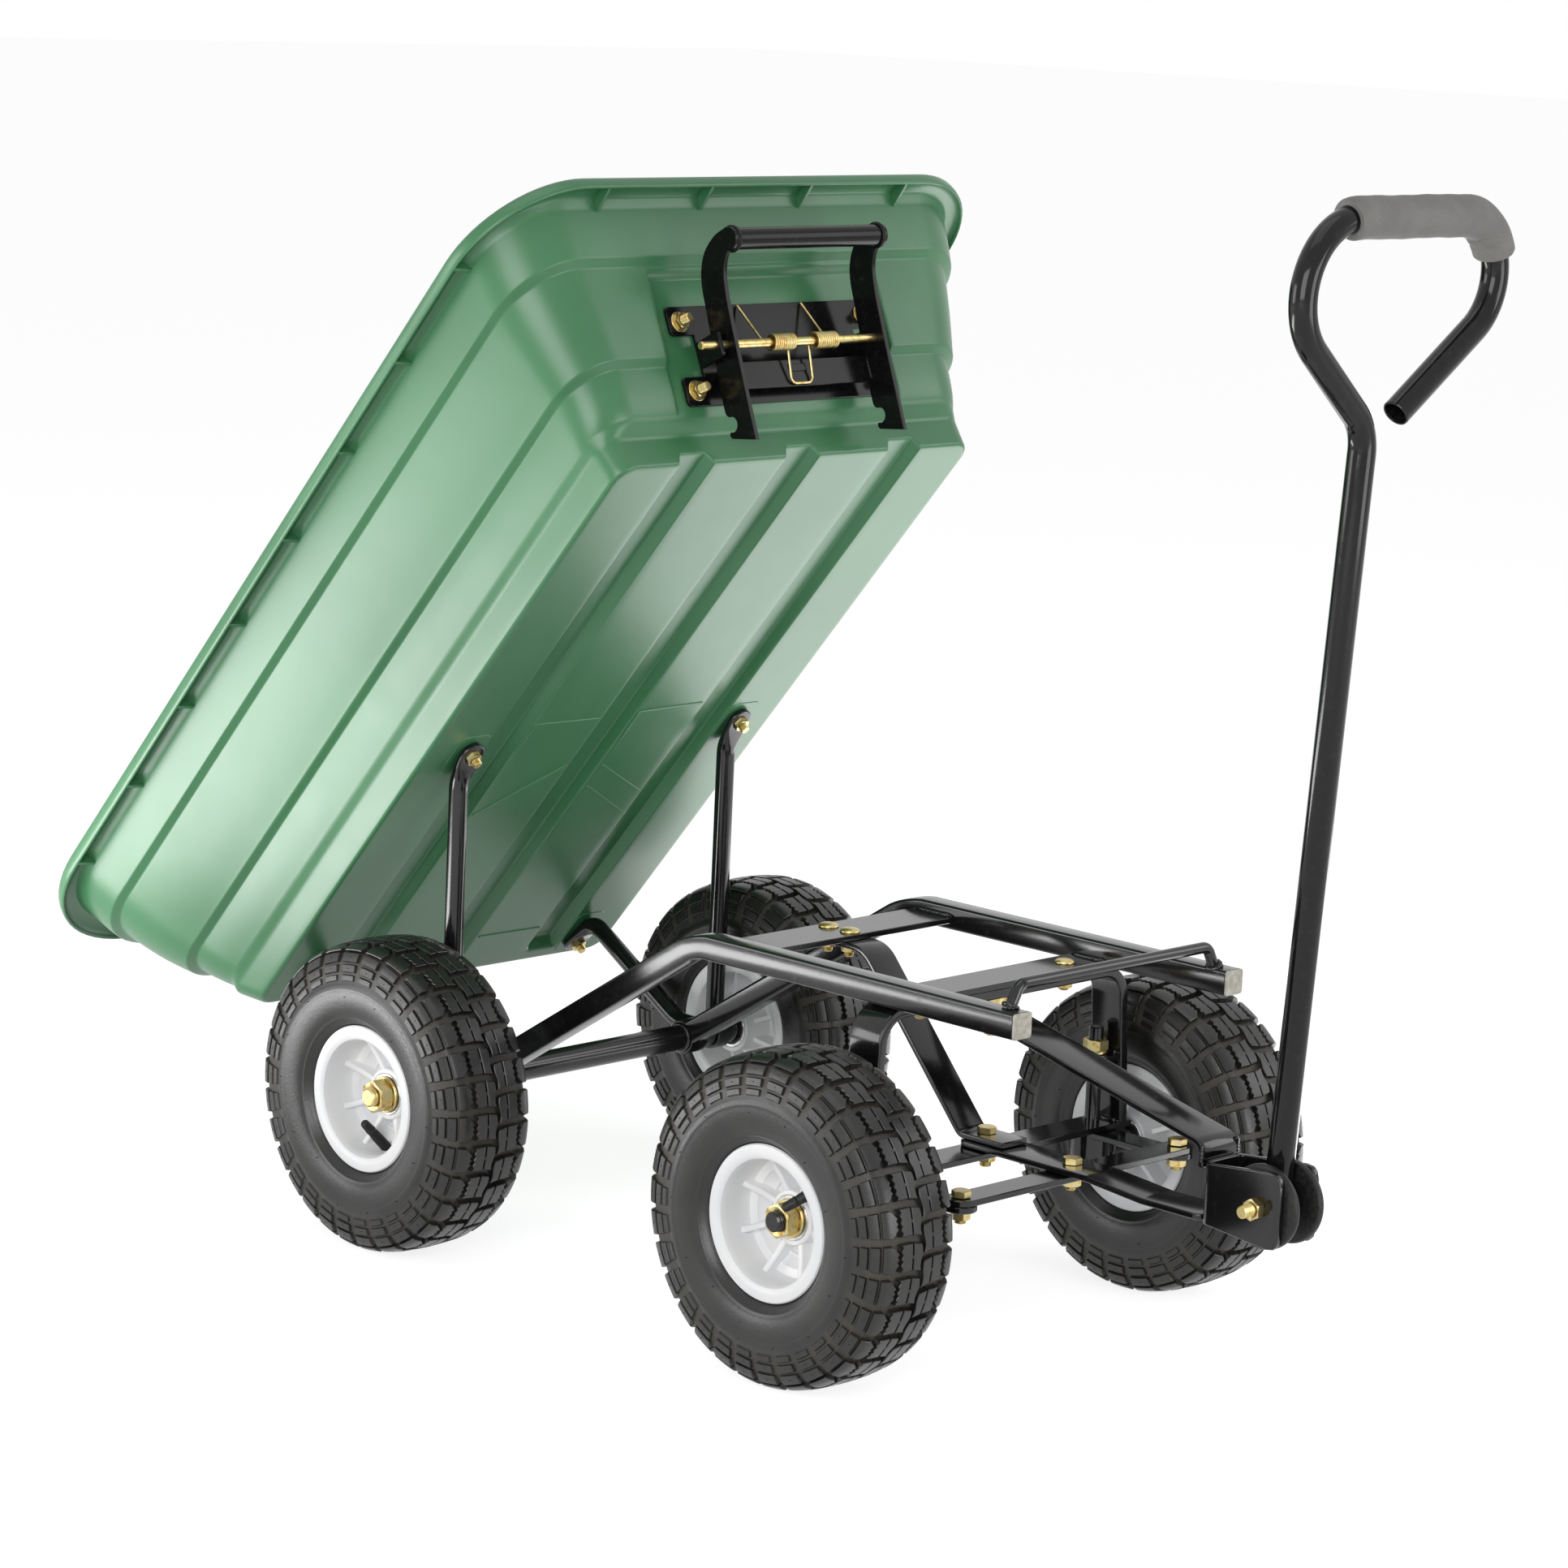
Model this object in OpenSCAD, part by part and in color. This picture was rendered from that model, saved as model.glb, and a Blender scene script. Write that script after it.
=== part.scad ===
// Tipping garden cart: a plastic tub on a steel frame with four air-filled wheels, a steered
// front end and an upright loop handle. Lengths are in millimetres, +X points forward, +Y to the
// left and +Z up. The origin is on the ground under the middle of the rear axle.
// The tub is drawn tipped back, as it stands when it has been emptied.

/* [Wheels] */
// Distance between the rear and the front axle
wheelbase = 466; // [456:1:480]
// Outside diameter of a tyre
tyre_d = 260; // [256:1:264]
// Width of a tyre across its sidewalls
tyre_w = 90; // [86:1:94]
// Diameter of a rim over its flanges
rim_d = 122; // [116:1:126]
// Width of a rim over its flanges
rim_w = 73; // [70:1:76]
// Thickness of a rim's plastic walls
rim_wall = 4; // [3.5:0.5:5]
// Height of a rim's flange above the seat of the tyre
flange_h = 9; // [8:0.5:10]
// Thickness of a rim's flange
flange_t = 3.2; // [2.6:0.2:4]
// Number of ribs in the dish of a rim
rib_n = 8; // [6:1:10]
// Thickness of a rib in the dish of a rim
rib_t = 4; // [3:0.5:5]
// Diameter of the rear axle and of the front stub axles
axle_d = 16; // [15:0.5:17]
// Outside diameter of a wheel bearing
bearing_d = 35; // [33:1:37]
// Width of a wheel bearing
bearing_w = 11; // [10:0.5:12]
// Distance that a hub's inner face lies inside the tyre's sidewall
hub_inset = 5; // [4:0.5:7]
// Distance that a hub's outer face stands outside the tyre's middle
hub_out = 9; // [7:0.5:12]
// Wall thickness of an inner tube
tube_t = 2; // [1.5:0.5:3]
// Diameter of a valve stem
valve_d = 9; // [8:0.5:10]
// Length of a valve stem
valve_l = 34; // [30:1:36]

/* [Frame] */
// Width and height of a rail's square tube
rail_w = 20; // [18:1:22]
// Wall thickness of a rail
rail_wall = 1.6; // [1.2:0.2:2]
// Distance between the middles of the two rails
rail_spread = 246; // [240:1:252]
// Height of the rails' top above the axles
rail_rise = 173; // [168:1:180]
// Distance from the rear axle to the front end of the rails
rail_front = 605; // [595:1:615]
// Distance from the rear axle to the bend in the rails
rail_bend = 262; // [250:1:270]
// Bend radius of a rail's middle line
rail_bend_r = 60; // [45:5:80]
// Diameter of the boss that holds the rear axle at the end of a rail
rail_boss_d = 30; // [26:1:34]
// Thickness of a rail plug's face
plug_t = 2; // [1.5:0.5:3]
// Depth of a rail plug inside its rail
plug_l = 14; // [10:1:20]
// Distance from the rear axle to the middle of the rear cross plate
rear_plate_x = 296; // [290:1:302]
// Width of the rear cross plate along the cart
rear_plate_w = 46; // [42:1:50]
// Distance of the rear cross plate's top below the rails' top
plate_drop = 8; // [6:0.5:10]
// Distance between the two bolts of the rear cross plate
stay_bolt_gap = 24; // [20:1:26]
// Width of the front cross plate along the cart
front_plate_w = 40; // [36:1:44]
// Distance from the middle to each bolt of the front cross plate
arch_bolt_y = 83; // [78:1:88]
// Width of the steel bar of the arch
arch_w = 32; // [30:1:36]
// Thickness of the steel bar of the arch
arch_t = 9; // [8:0.5:10]
// Bend radius of the arch's middle line
arch_r = 24; // [18:1:30]
// Distance from a kingpin to the middle of the arch's leg at its top
leg_gap = 12.5; // [12:0.5:14]
// Distance that each leg of the arch leans outward down to its foot
leg_splay = 9; // [6:1:10]
// Thickness of the flat steel bars
bar_t = 5; // [4.5:0.5:6]
// Width of the flat steel bars
bar_w = 30; // [28:1:32]
// Distance from the rear plate's middle to the bend of the stay strap
stay_flat = 40; // [36:1:44]
// Distance from the steering pivot back to the lower bend of the stay strap
stay_foot = 16; // [15:1:19]
// Upper bend radius of the stay strap
stay_r = 28; // [20:2:36]
// Lower bend radius of the stay strap
foot_r = 10; // [8:1:14]
// Diameter of the latch rod
latch_rod_d = 9; // [8:0.5:10]
// Distance that the latch rod's straight stretch stops short of a rail's middle
latch_rod_step = 14; // [10:1:18]
// Bend radius of the latch rod
latch_rod_r = 10; // [8:1:12]
// Length of the collar between a rail and a tub support
collar_l = 13; // [12:1:16]
// Length of the spacer between a tub support and a rear hub
spacer_l = 11.5; // [11:0.5:14]
// Outside diameter of the collars and spacers on the rear axle
collar_d = 25; // [23:1:28]
// Diameter of the tube round the rear axle between the rails
axle_tube_d = 22; // [20:0.5:24]

/* [Steering] */
// Distance from the middle of the cart to a kingpin
kingpin_y = 126; // [122:1:130]
// Diameter of a kingpin
kingpin_d = 12; // [11:0.5:13]
// Distance from a kingpin forward to its tie bolt
arm_reach = 90; // [84:1:96]
// Height of the lower cross bar's underside above the axles
cross_rise = 16; // [15:0.5:18]
// Height of the kingpin brackets' underside above the axles
bracket_rise = 73; // [68:1:78]
// Length of a kingpin above its bracket
kingpin_end = 22; // [20:1:26]
// Distance from a kingpin to the inner face of its hub
shoulder_l = 42; // [41:1:48]
// Diameter of the shoulder on a front stub axle
shoulder_d = 24; // [21:1:25]
// Diameter of the boss under a kingpin
boss_d = 32; // [30:1:36]
// Width of a steering arm and of the tie bar
arm_w = 25; // [23:1:27]
// Diameter of the tie bolts
tie_bolt_d = 10; // [9:0.5:10.5]

/* [Drawbar and handle] */
// Distance from the steering pivot to the handle pivot
drawbar_l = 291; // [280:1:300]
// Height of the handle pivot above the axles
handle_rise = 40; // [38:1:44]
// Distance from the handle pivot back to the clevis's rear face
clevis_back = 55; // [52:1:60]
// Distance from the handle pivot to the clevis's front edge
clevis_front = 21; // [18:1:26]
// Height of the clevis at its back
clevis_back_h = 48; // [47:0.5:52]
// Height of the clevis at its front
clevis_front_h = 59; // [54:1:64]
// Height of the drawbar strap's upper tongue above the axles
tongue_rise = 126; // [122:1:128]
// Height of the drawbar strap's lower bend above the handle pivot
strap_drop_z = 36; // [34:1:40]
// Width of the drawbar strap
strap_w = 32; // [30:1:36]
// Height that the drawbar steps down in front of the tie bolt
drawbar_step = 5; // [4:0.5:6]
// Diameter of the upper steering stud
stud_d = 12; // [11:0.5:13]
// Diameter of the handle's friction discs
disc_d = 65; // [60:1:68]
// Thickness of a friction disc
disc_t = 7; // [6:0.5:8]
// Diameter of the handle's pivot bolt
pivot_d = 10; // [9:0.5:11]
// Outside diameter of the handle's tube
handle_d = 21; // [20:0.5:22]
// Wall thickness of the handle's tube
handle_wall = 1.6; // [1.2:0.2:2]
// Lean of the handle's shaft to the front in degrees
handle_lean = 3.7; // [2:0.1:5]
// Length of the handle's shaft from the pivot to the first bend
shaft_l = 564; // [540:2:580]
// Length of the shaft's foot below the pivot
shaft_foot = 18; // [16:1:20]
// Bend radius of the handle's middle line below the slanted stretch
slant_r = 40; // [36:1:44]
// Bend radius of the handle's middle line above the slanted stretch
crown_r = 53.5; // [50:0.5:57]
// Bend radius of the handle's middle line before its loose end
tail_r = 46; // [44:1:50]
// Length of the handle's slanted stretch
slant_l = 69; // [60:1:76]
// Length of the handle's straight grip
grip_l = 121; // [112:1:130]
// Length of the handle's loose end
tail_l = 100; // [80:1:104]
// Outside diameter of the foam grip
foam_d = 31; // [29:0.5:33]

/* [Tub] */
// Angle that the tub is tipped back in degrees
tip_angle = 49.5; // [46:0.5:50]
// Distance from the rear axle to the front edge of the tub's floor
floor_front = 565; // [555:1:572]
// Distance from the rear axle to the rear edge of the tub's floor
floor_rear = 105; // [98:1:112]
// Width of the tub's floor
floor_w = 384; // [380:1:392]
// Depth of the tub from its rim to its underside
tub_h = 192; // [184:1:198]
// Thickness of the tub's plastic walls
tub_t = 4; // [3.5:0.5:5]
// Height of the tub's lower pan
pan_h = 26; // [24:1:28]
// Height of the sloped ledge above the pan
pan_ledge_h = 8; // [7:0.5:10]
// Distance that the wall stands out above the pan
pan_out = 16; // [14:1:18]
// Corner radius of the pan
pan_r = 18; // [14:1:20]
// Corner radius of the wall just above the pan
band_r = 62; // [56:1:66]
// Corner radius of the wall under the rim
top_r = 90; // [84:1:96]
// Slope of the pan's sides in degrees
pan_draft = 9; // [6:1:12]
// Slope of the tub's front wall in degrees
front_draft = 26; // [25:0.5:27]
// Slope of the tub's side walls in degrees
side_draft = 13.5; // [12:0.5:15]
// Slope of the tub's rear wall in degrees
rear_draft = 28.5; // [27:0.5:30]
// Height of the lower ledge in the walls
ledge_low = 70; // [66:1:74]
// Height of the upper ledge in the walls
ledge_high = 141; // [136:1:145]
// Height and depth of a ledge in the walls
ledge_step = 5; // [4.5:0.5:5.5]
// Width of the rim's lip
lip_w = 24; // [22:1:27]
// Height of the rim's lip
lip_h = 14; // [12:1:16]
// Distance from the middle to the outer grooves of the floor
groove_y = 118; // [114:1:120]
// Width of a floor groove at its mouth
groove_w = 38; // [34:1:40]
// Depth of a floor groove
groove_d = 9; // [7:1:11]
// Number of gussets under each long side of the rim
gusset_side_n = 8; // [6:1:9]
// Number of gussets under each end of the rim
gusset_end_n = 4; // [3:1:5]
// Height of a gusset
gusset_h = 16; // [13:1:18]
// Thickness of a gusset
gusset_t = 3; // [2.5:0.5:4]
// Diameter of the bar of a tub support
support_d = 16; // [14:1:16]
// Outside diameter of a support's eye on the rear axle
eye_d = 30; // [27:1:33]
// Distance from the rear axle to a support's front bolt
support_front = 224; // [218:1:230]
// Distance from the rear axle back to a support's rear bolt
support_rear = 82; // [78:1:84]
// Slope of a support's front leg in degrees
support_lean = 40; // [39.5:0.5:41]
// Length of a support's flat end in front of its bar
tab_l = 34; // [32:1:38]
// Width of a support's flat end
tab_w = 24; // [22:1:26]

/* [Latch] */
// Height of the latch pin above the latch's foot on the wall
latch_pin_up = 49; // [47:1:51]
// Distance of the latch pin from the front wall
latch_pin_out = 31; // [30:0.5:32]
// Distance from the latch pin down to the hooks
latch_drop = 61; // [59:1:63]
// Diameter of the latch pin
latch_pin_d = 7; // [6:0.5:7.5]
// Distance that the latch pin's right end stands out beyond its bracket
latch_pin_reach = 24; // [18:1:26]
// Distance that the latch pin's left end stands out beyond its bracket
latch_pin_tail = 6; // [4:0.5:8]
// Distance from the middle to the outer face of a lever plate
lever_y = 86; // [82:1:90]
// Thickness of a lever plate
lever_t = 4; // [3:0.5:5]
// Diameter of the grip on the latch lever
latch_grip_d = 17.5; // [16:0.5:19]
// Diameter of the rod inside the latch's grip
grip_rod_d = 10; // [8:1:11]
// Thickness of the latch bracket's sheet
bracket_t = 3; // [2.5:0.5:3.5]
// Height of the latch bracket
bracket_h = 82; // [78:1:84]
// Distance that a bracket ear stands out beyond the lever
ear_l = 28; // [26:1:30]
// Diameter of the wire of the latch spring
wire_d = 2.4; // [2:0.1:2.5]
// Gap between the turns of the latch spring
wire_gap = 0.6; // [0.5:0.05:0.8]
// Turns in each coil of the latch spring
coil_turns = 8; // [6:1:9]
// Radius of a coil's middle line
coil_r = 6; // [5.8:0.1:6.4]
// Distance from the middle to the inner end of a coil
coil_y = 12; // [11:1:14]

/* [Fasteners and fits] */
// Diameter of the smaller bolts
bolt_d = 8; // [7:0.5:8.5]
// Play between a turning piece and its pin, on the radius
run_gap = 0.05; // [0.03:0.01:0.08]
// Play between a bolt and its hole, on the radius
bolt_gap = 0.2; // [0.15:0.05:0.3]
// Play between a nut and its thread, on the radius
thread_gap = 0.1; // [0.05:0.05:0.15]
// Gap between pieces that turn past each other
turn_gap = 0.3; // [0.25:0.05:0.5]
// Gap between pieces that are fixed to each other
seat_gap = 0.1; // [0.05:0.05:0.15]
// Gap between the lowered tub and the rails
bed_gap = 0.5; // [0.4:0.1:1]

/* [Hidden] */
$fn = 48;
overrun = 4;
// Degrees between the points of a bend, and degrees that a round bend reaches into its straights
bend_step = 9;
bend_lap = 1.5;
// Amount that a round bar is thinner in its bends
bend_thin = 0.1;

// Colours of the materials
green = [0.24, 0.55, 0.22];
black_paint = [0.07, 0.07, 0.075];
white_plastic = [0.93, 0.93, 0.92];
rubber = [0.16, 0.155, 0.15];
zinc = [0.80, 0.70, 0.42];
steel = [0.72, 0.72, 0.73];
foam = [0.20, 0.20, 0.21];
off_white = [0.85, 0.83, 0.78];

// Heights above the ground
axle_z = tyre_d / 2;
rail_top = axle_z + rail_rise;
rail_mid = rail_top - rail_w / 2;
rail_low = rail_top - rail_w;
cross_low = axle_z + cross_rise;
cross_top = cross_low + bar_t;
drawbar_low = cross_top + turn_gap;
drawbar_top = drawbar_low + bar_t;
foot_low = drawbar_top + turn_gap;
foot_top = foot_low + bar_t;
arm_top = cross_low - turn_gap;
arm_low = arm_top - bar_t;
bracket_low = axle_z + bracket_rise;
bracket_top = bracket_low + bar_t;
arch_low = rail_low - arch_t;
plate_top = rail_top - plate_drop;
pivot_z = axle_z + handle_rise;
tongue_z = axle_z + tongue_rise;

// Places along and across the cart
rail_y = rail_spread / 2;
rail_in = rail_y - rail_w / 2;
rail_out = rail_y + rail_w / 2;
eye_w = support_d;
support_y = rail_out + collar_l + eye_w / 2;
rear_hub_y = rail_out + collar_l + eye_w + spacer_l;
hub_in = tyre_w / 2 - hub_inset;
rear_half = rear_hub_y + hub_in;
front_hub_y = kingpin_y + shoulder_l;
front_half = front_hub_y + hub_in;
tie_x = wheelbase + arm_reach;
pivot_x = wheelbase + drawbar_l;
clevis_x = pivot_x - clevis_back;
leg_top_y = kingpin_y + leg_gap;
leg_foot_y = leg_top_y + leg_splay;

// Floor of the lowered tub, foot of its front wall and place of the latch hooks
floor_z = rail_top + bed_gap;
wall_low = pan_h + pan_ledge_h;
wall_x = floor_front + pan_out;
hook_in_share = 0.262;
hook_n = latch_pin_out - latch_drop * hook_in_share;
hook_u = latch_pin_up - latch_drop;
hook_x = wall_x + hook_n * cos(front_draft) + hook_u * sin(front_draft);
hook_z = floor_z + wall_low - hook_n * sin(front_draft) + hook_u * cos(front_draft);

// Sizes of the nuts and bolt heads as shares of the bolt's diameter
nut_af_share = 1.5;
big_nut_h_share = 0.8;
nut_h_share = 0.75;
head_h_share = 0.6;
dome_d_share = 2.1;
dome_h_share = 0.45;
washer_d_share = 1.9;
thin_washer_share = 1.6;
washer_t = bar_t / 2;
axle_nut_h = axle_d * big_nut_h_share;
axle_end = washer_t + axle_nut_h + bar_t;
corner_share = 1 / cos(30);

// Rim and tyre
seat_r = rim_d / 2 - flange_h;
hub_r = bearing_d / 2 + rim_wall;
hub_bore = bearing_d / 2 - rim_wall;
bead_w = rim_w / 2 - flange_t - seat_gap;
section_h = axle_z - seat_r;
// Outside of a tyre from above the flange to the tread: height share, width share
tyre_shares = [[0.155, 0.83], [0.26, 0.95], [0.41, 1], [0.57, 0.995], [0.71, 0.97], [0.82, 0.925],
    [0.9, 0.855], [0.955, 0.745], [0.985, 0.52], [1, 0]];
// Inside of a tyre from the bead to the tread: height share, width share
cavity_shares = [[0.14, 0.62], [0.22, 0.8], [0.42, 0.885], [0.58, 0.88], [0.71, 0.84], [0.8, 0.73],
    [0.845, 0.5], [0.86, 0]];
bead_share = 0.53;
bead_in = tyre_w / 2 * bead_share;
// Dish of a rim: place of its web and height of its ribs as shares of the rim's width
web_hub_share = -0.16;
web_seat_share = 0.02;
rib_hub_share = 0.09;
rib_seat_share = 0.24;
valve_share = 0.12;

// Path of the handle in the plane of its loop
handle_turns = [50, -140, -144];
handle_radii = [slant_r, crown_r, tail_r];
handle_lens = [shaft_l, slant_l, grip_l, tail_l];
// Angles of the foam around the bends at the two ends of the grip
foam_angles = [13, 68];

// Points on a polyline with its corners rounded
function heading(a, b) = atan2(b.y - a.y, b.x - a.x);
function wrap(a) = a > 180 ? a - 360 : a < -180 ? a + 360 : a;
function turn_at(p, i) = wrap(heading(p[i], p[i + 1]) - heading(p[i - 1], p[i]));
function tangent_at(p, r, i) =
    i == 0 || i == len(p) - 1 ? 0 : r[i] * tan(abs(turn_at(p, i)) / 2);
function along(a) = [cos(a), sin(a)];
function tangent(turns, radii, i) =
    i < 0 || i >= len(turns) ? 0 : radii[i] * tan(abs(turns[i]) / 2);
function total(v, n) = n <= 0 ? 0 : v[n - 1] + total(v, n - 1);
// Corners of a path that is given by its straight lengths, turns and bend radii
function corners(start, angle, lens, turns, radii, n) =
    n == 0 ? start :
    corners(start, angle, lens, turns, radii, n - 1)
        + (tangent(turns, radii, n - 2) + lens[n - 1] + tangent(turns, radii, n - 1))
        * along(angle + total(turns, n - 1));
function path(start, angle, lens, turns, radii) =
    [for (n = [0 : len(lens)]) corners(start, angle, lens, turns, radii, n)];

// Points and headings along a path with rounded corners; its ends can be run on
function bend_points(p, r, i) =
    let (h = heading(p[i - 1], p[i]), t = turn_at(p, i), s = sign(t), n = ceil(abs(t) / bend_step),
        c = p[i] - tangent_at(p, r, i) * along(h) + s * r[i] * along(h + 90))
    [for (k = [0 : n]) let (a = h + t * k / n) [c - s * r[i] * along(a + 90), a]];
function path_points(p, r, ends) =
    let (n = len(p) - 1, h0 = heading(p[0], p[1]), h1 = heading(p[n - 1], p[n]))
    concat([[p[0] - ends * along(h0), h0]], [for (i = [1 : 1 : n - 1]) each bend_points(p, r, i)],
        [[p[n] + ends * along(h1), h1]]);
// Outline of a strip of an even thickness along a path
function strip(p, r, t, ends = 0) =
    let (s = path_points(p, r, ends))
    concat([for (q = s) q[0] + t / 2 * along(q[1] + 90)],
        [for (i = [len(s) - 1 : -1 : 0]) s[i][0] - t / 2 * along(s[i][1] + 90)]);
module flat_bar(p, r, t, w, ends = 0) {
    linear_extrude(w, center = true) polygon(strip(p, r, t, ends));
}
// A round bar along a path; it is a little thinner in its bends, which reach into the straights
module round_bar(p, r, d, ends = 0) {
    last = len(p) - 2;
    for (i = [0 : last]) {
        h = heading(p[i], p[i + 1]);
        a = tangent_at(p, r, i) - (i == 0 ? ends : 0);
        b = tangent_at(p, r, i + 1) - (i == last ? ends : 0);
        l = norm(p[i + 1] - p[i]) - a - b;
        if (l > seat_gap)
            translate(p[i] + a * along(h)) rotate([0, 0, h]) rotate([0, 90, 0]) cylinder(d = d, h = l);
        if (i < last) {
            t = turn_at(p, i + 1);
            c = p[i + 1] - tangent_at(p, r, i + 1) * along(h) + sign(t) * r[i + 1] * along(h + 90);
            translate(c)
                rotate([0, 0, (t > 0 ? h - 90 : h + 90 + t) - bend_lap])
                rotate_extrude(angle = abs(t) + 2 * bend_lap)
                translate([r[i + 1], 0]) circle(d = d - bend_thin);
        }
    }
}

// Puts a flat path upright: along the cart, or across it
module side_view(y = 0) {
    translate([0, y, 0]) rotate([90, 0, 0]) children();
}
module front_view(x = 0) {
    translate([x, 0, 0]) rotate([90, 0, 90]) children();
}
module both_sides() {
    for (s = [-1, 1]) scale([1, s, 1]) children();
}
module across(y0, y1) {
    translate([0, y0, 0]) rotate([-90, 0, 0]) linear_extrude(y1 - y0) children();
}
module rod(d, y0, y1) {
    translate([0, y0, 0]) rotate([-90, 0, 0]) cylinder(d = d, h = y1 - y0);
}
module ring(d, bore, h) {
    difference() {
        cylinder(d = d, h = h);
        translate([0, 0, -overrun]) cylinder(r = bore, h = h + 2 * overrun);
    }
}
module hex(d, h) {
    cylinder(d = d * nut_af_share * corner_share, h = h, $fn = 6);
}
module nut(d, h) {
    difference() {
        hex(d, h);
        translate([0, 0, -overrun]) cylinder(r = d / 2 + thread_gap, h = h + 2 * overrun);
    }
}
module dome(d) {
    r = d * dome_d_share / 2;
    h = d * dome_h_share;
    ball = (r * r + h * h) / (2 * h);
    rotate_extrude() intersection() {
        translate([0, h - ball]) circle(ball);
        square([r, h]);
    }
}
// A bolt that points down from its seat, and its nut on the far side of the grip
module hex_bolt(d, grip) {
    hex(d, d * head_h_share);
    end = grip + d;
    translate([0, 0, -end]) cylinder(d = d, h = end);
    translate([0, 0, -grip - d * nut_h_share]) nut(d, d * nut_h_share);
}
module dome_bolt(d, grip) {
    dome(d);
    end = grip + d;
    translate([0, 0, -end]) cylinder(d = d, h = end);
    translate([0, 0, -grip - d * nut_h_share]) nut(d, d * nut_h_share);
}
module hole(d, gap, z0, z1) {
    translate([0, 0, z0 - overrun]) cylinder(r = d / 2 + gap, h = z1 - z0 + 2 * overrun);
}
module flat_link(a, b, w) {
    l = norm(b - a);
    translate(a) rotate(heading(a, b)) translate([0, -w / 2]) square([l, w]);
    translate(a) circle(d = w);
    translate(b) circle(d = w);
}

// Wheels
module wheel_at(x, y, s) {
    translate([x, s * y, axle_z]) rotate([-90 * s, 0, 0]) children();
}
module front_left() wheel_at(wheelbase, front_half, 1) children();
module front_right() wheel_at(wheelbase, front_half, -1) children();
module rear_left() wheel_at(0, rear_half, 1) children();
module rear_right() wheel_at(0, rear_half, -1) children();

function section(shares, inset) =
    [for (s = shares) [seat_r + s[0] * section_h + (s[0] < bead_share ? inset : -inset),
        max(0, s[1] * tyre_w / 2 - inset)]];
function flip(p) = [for (i = [len(p) - 1 : -1 : 0]) if (p[i].y > 0) [p[i].x, -p[i].y]];
function whole(p) = concat(p, flip(p));

module tyre_shape() {
    out = concat([[seat_r + seat_gap, bead_w], [rim_d / 2 + turn_gap, bead_w]],
        section(tyre_shares, 0));
    cavity = concat([[seat_r + seat_gap, bead_in]], section(cavity_shares, 0));
    color(rubber) rotate_extrude() difference() {
        polygon(whole(out));
        polygon(concat([[seat_r - overrun, bead_in]], cavity,
            flip(cavity), [[seat_r - overrun, -bead_in]]));
    }
}
module valve_axis(a) {
    rotate([0, 0, a]) translate([seat_r, 0, rim_w * valve_share]) rotate([0, -45, 0]) children();
}
module inner_tube_shape(valve_angle) {
    low = seat_r + turn_gap;
    outer = concat([[low, bead_in - turn_gap]], section(cavity_shares, turn_gap));
    core = turn_gap + tube_t;
    inner = concat([[low + tube_t, bead_in - core]], section(cavity_shares, core));
    color(rubber) difference() {
        rotate_extrude() polygon(whole(outer));
        rotate_extrude() polygon(whole(inner));
        valve_axis(valve_angle) translate([0, 0, -2 * overrun])
            cylinder(d = valve_d / 2, h = 3 * overrun);
    }
}
module rim_shape(valve_angle) {
    web_hub = rim_w * web_hub_share;
    web_seat = rim_w * web_seat_share;
    inside = seat_r - rim_wall / 2;
    color(white_plastic) difference() {
        union() {
            rotate_extrude() {
                translate([seat_r - rim_wall, -rim_w / 2]) square([rim_wall, rim_w]);
                for (s = [0, 1]) mirror([0, s])
                    translate([seat_r - rim_wall / 2, rim_w / 2 - flange_t])
                        square([flange_h + rim_wall / 2, flange_t]);
                polygon([[hub_r - rim_wall / 2, web_hub], [hub_r - rim_wall / 2, web_hub + rim_wall],
                    [inside, web_seat + rim_wall], [inside, web_seat]]);
                translate([hub_bore, -hub_in]) square([hub_r - hub_bore, hub_in + hub_out]);
            }
            for (i = [0 : rib_n - 1])
                rotate([0, 0, (i + 0.5) * 360 / rib_n]) rotate([90, 0, 0])
                    translate([0, 0, -rib_t / 2]) linear_extrude(rib_t)
                    polygon([[hub_r - rim_wall / 2, web_hub + rim_wall / 2],
                        [hub_r - rim_wall / 2, rim_w * rib_hub_share],
                        [inside, rim_w * rib_seat_share], [inside, web_seat + rim_wall / 2]]);
        }
        translate([0, 0, hub_out - bearing_w]) cylinder(d = bearing_d, h = bearing_w + overrun);
        translate([0, 0, -hub_in - overrun]) cylinder(d = bearing_d, h = bearing_w + overrun);
        valve_axis(valve_angle)
            translate([0, 0, -overrun * 2]) cylinder(r = valve_d / 2 + seat_gap, h = valve_l);
    }
}
module bearings_shape() {
    seal = bearing_w / 8;
    track = (bearing_d - axle_d) / 8;
    color(steel) for (z = [-hub_in, hub_out - bearing_w]) translate([0, 0, z])
        rotate_extrude() difference() {
            translate([axle_d / 2 + run_gap, 0])
                square([bearing_d / 2 - axle_d / 2 - run_gap - seat_gap / 2, bearing_w]);
            for (f = [-seal, bearing_w - seal])
                translate([axle_d / 2 + track, f])
                    square([(bearing_d - axle_d) / 2 - 2 * track, 2 * seal]);
        }
}
module valve_shape(angle) {
    cap = valve_l / 3;
    color(rubber) valve_axis(angle) {
        translate([0, 0, valve_d / 2]) cylinder(d = valve_d, h = valve_l - cap - valve_d / 2);
        translate([0, 0, valve_l - cap]) cylinder(d1 = valve_d, d2 = valve_d - rim_wall / 2, h = cap);
    }
}
module hub_nut_at(y) {
    translate([0, y, 0]) rotate([-90, 0, 0]) {
        translate([0, 0, turn_gap]) ring(axle_d * washer_d_share, axle_d / 2 + thread_gap, washer_t);
        translate([0, 0, turn_gap + washer_t]) nut(axle_d, axle_nut_h);
    }
}

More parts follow.
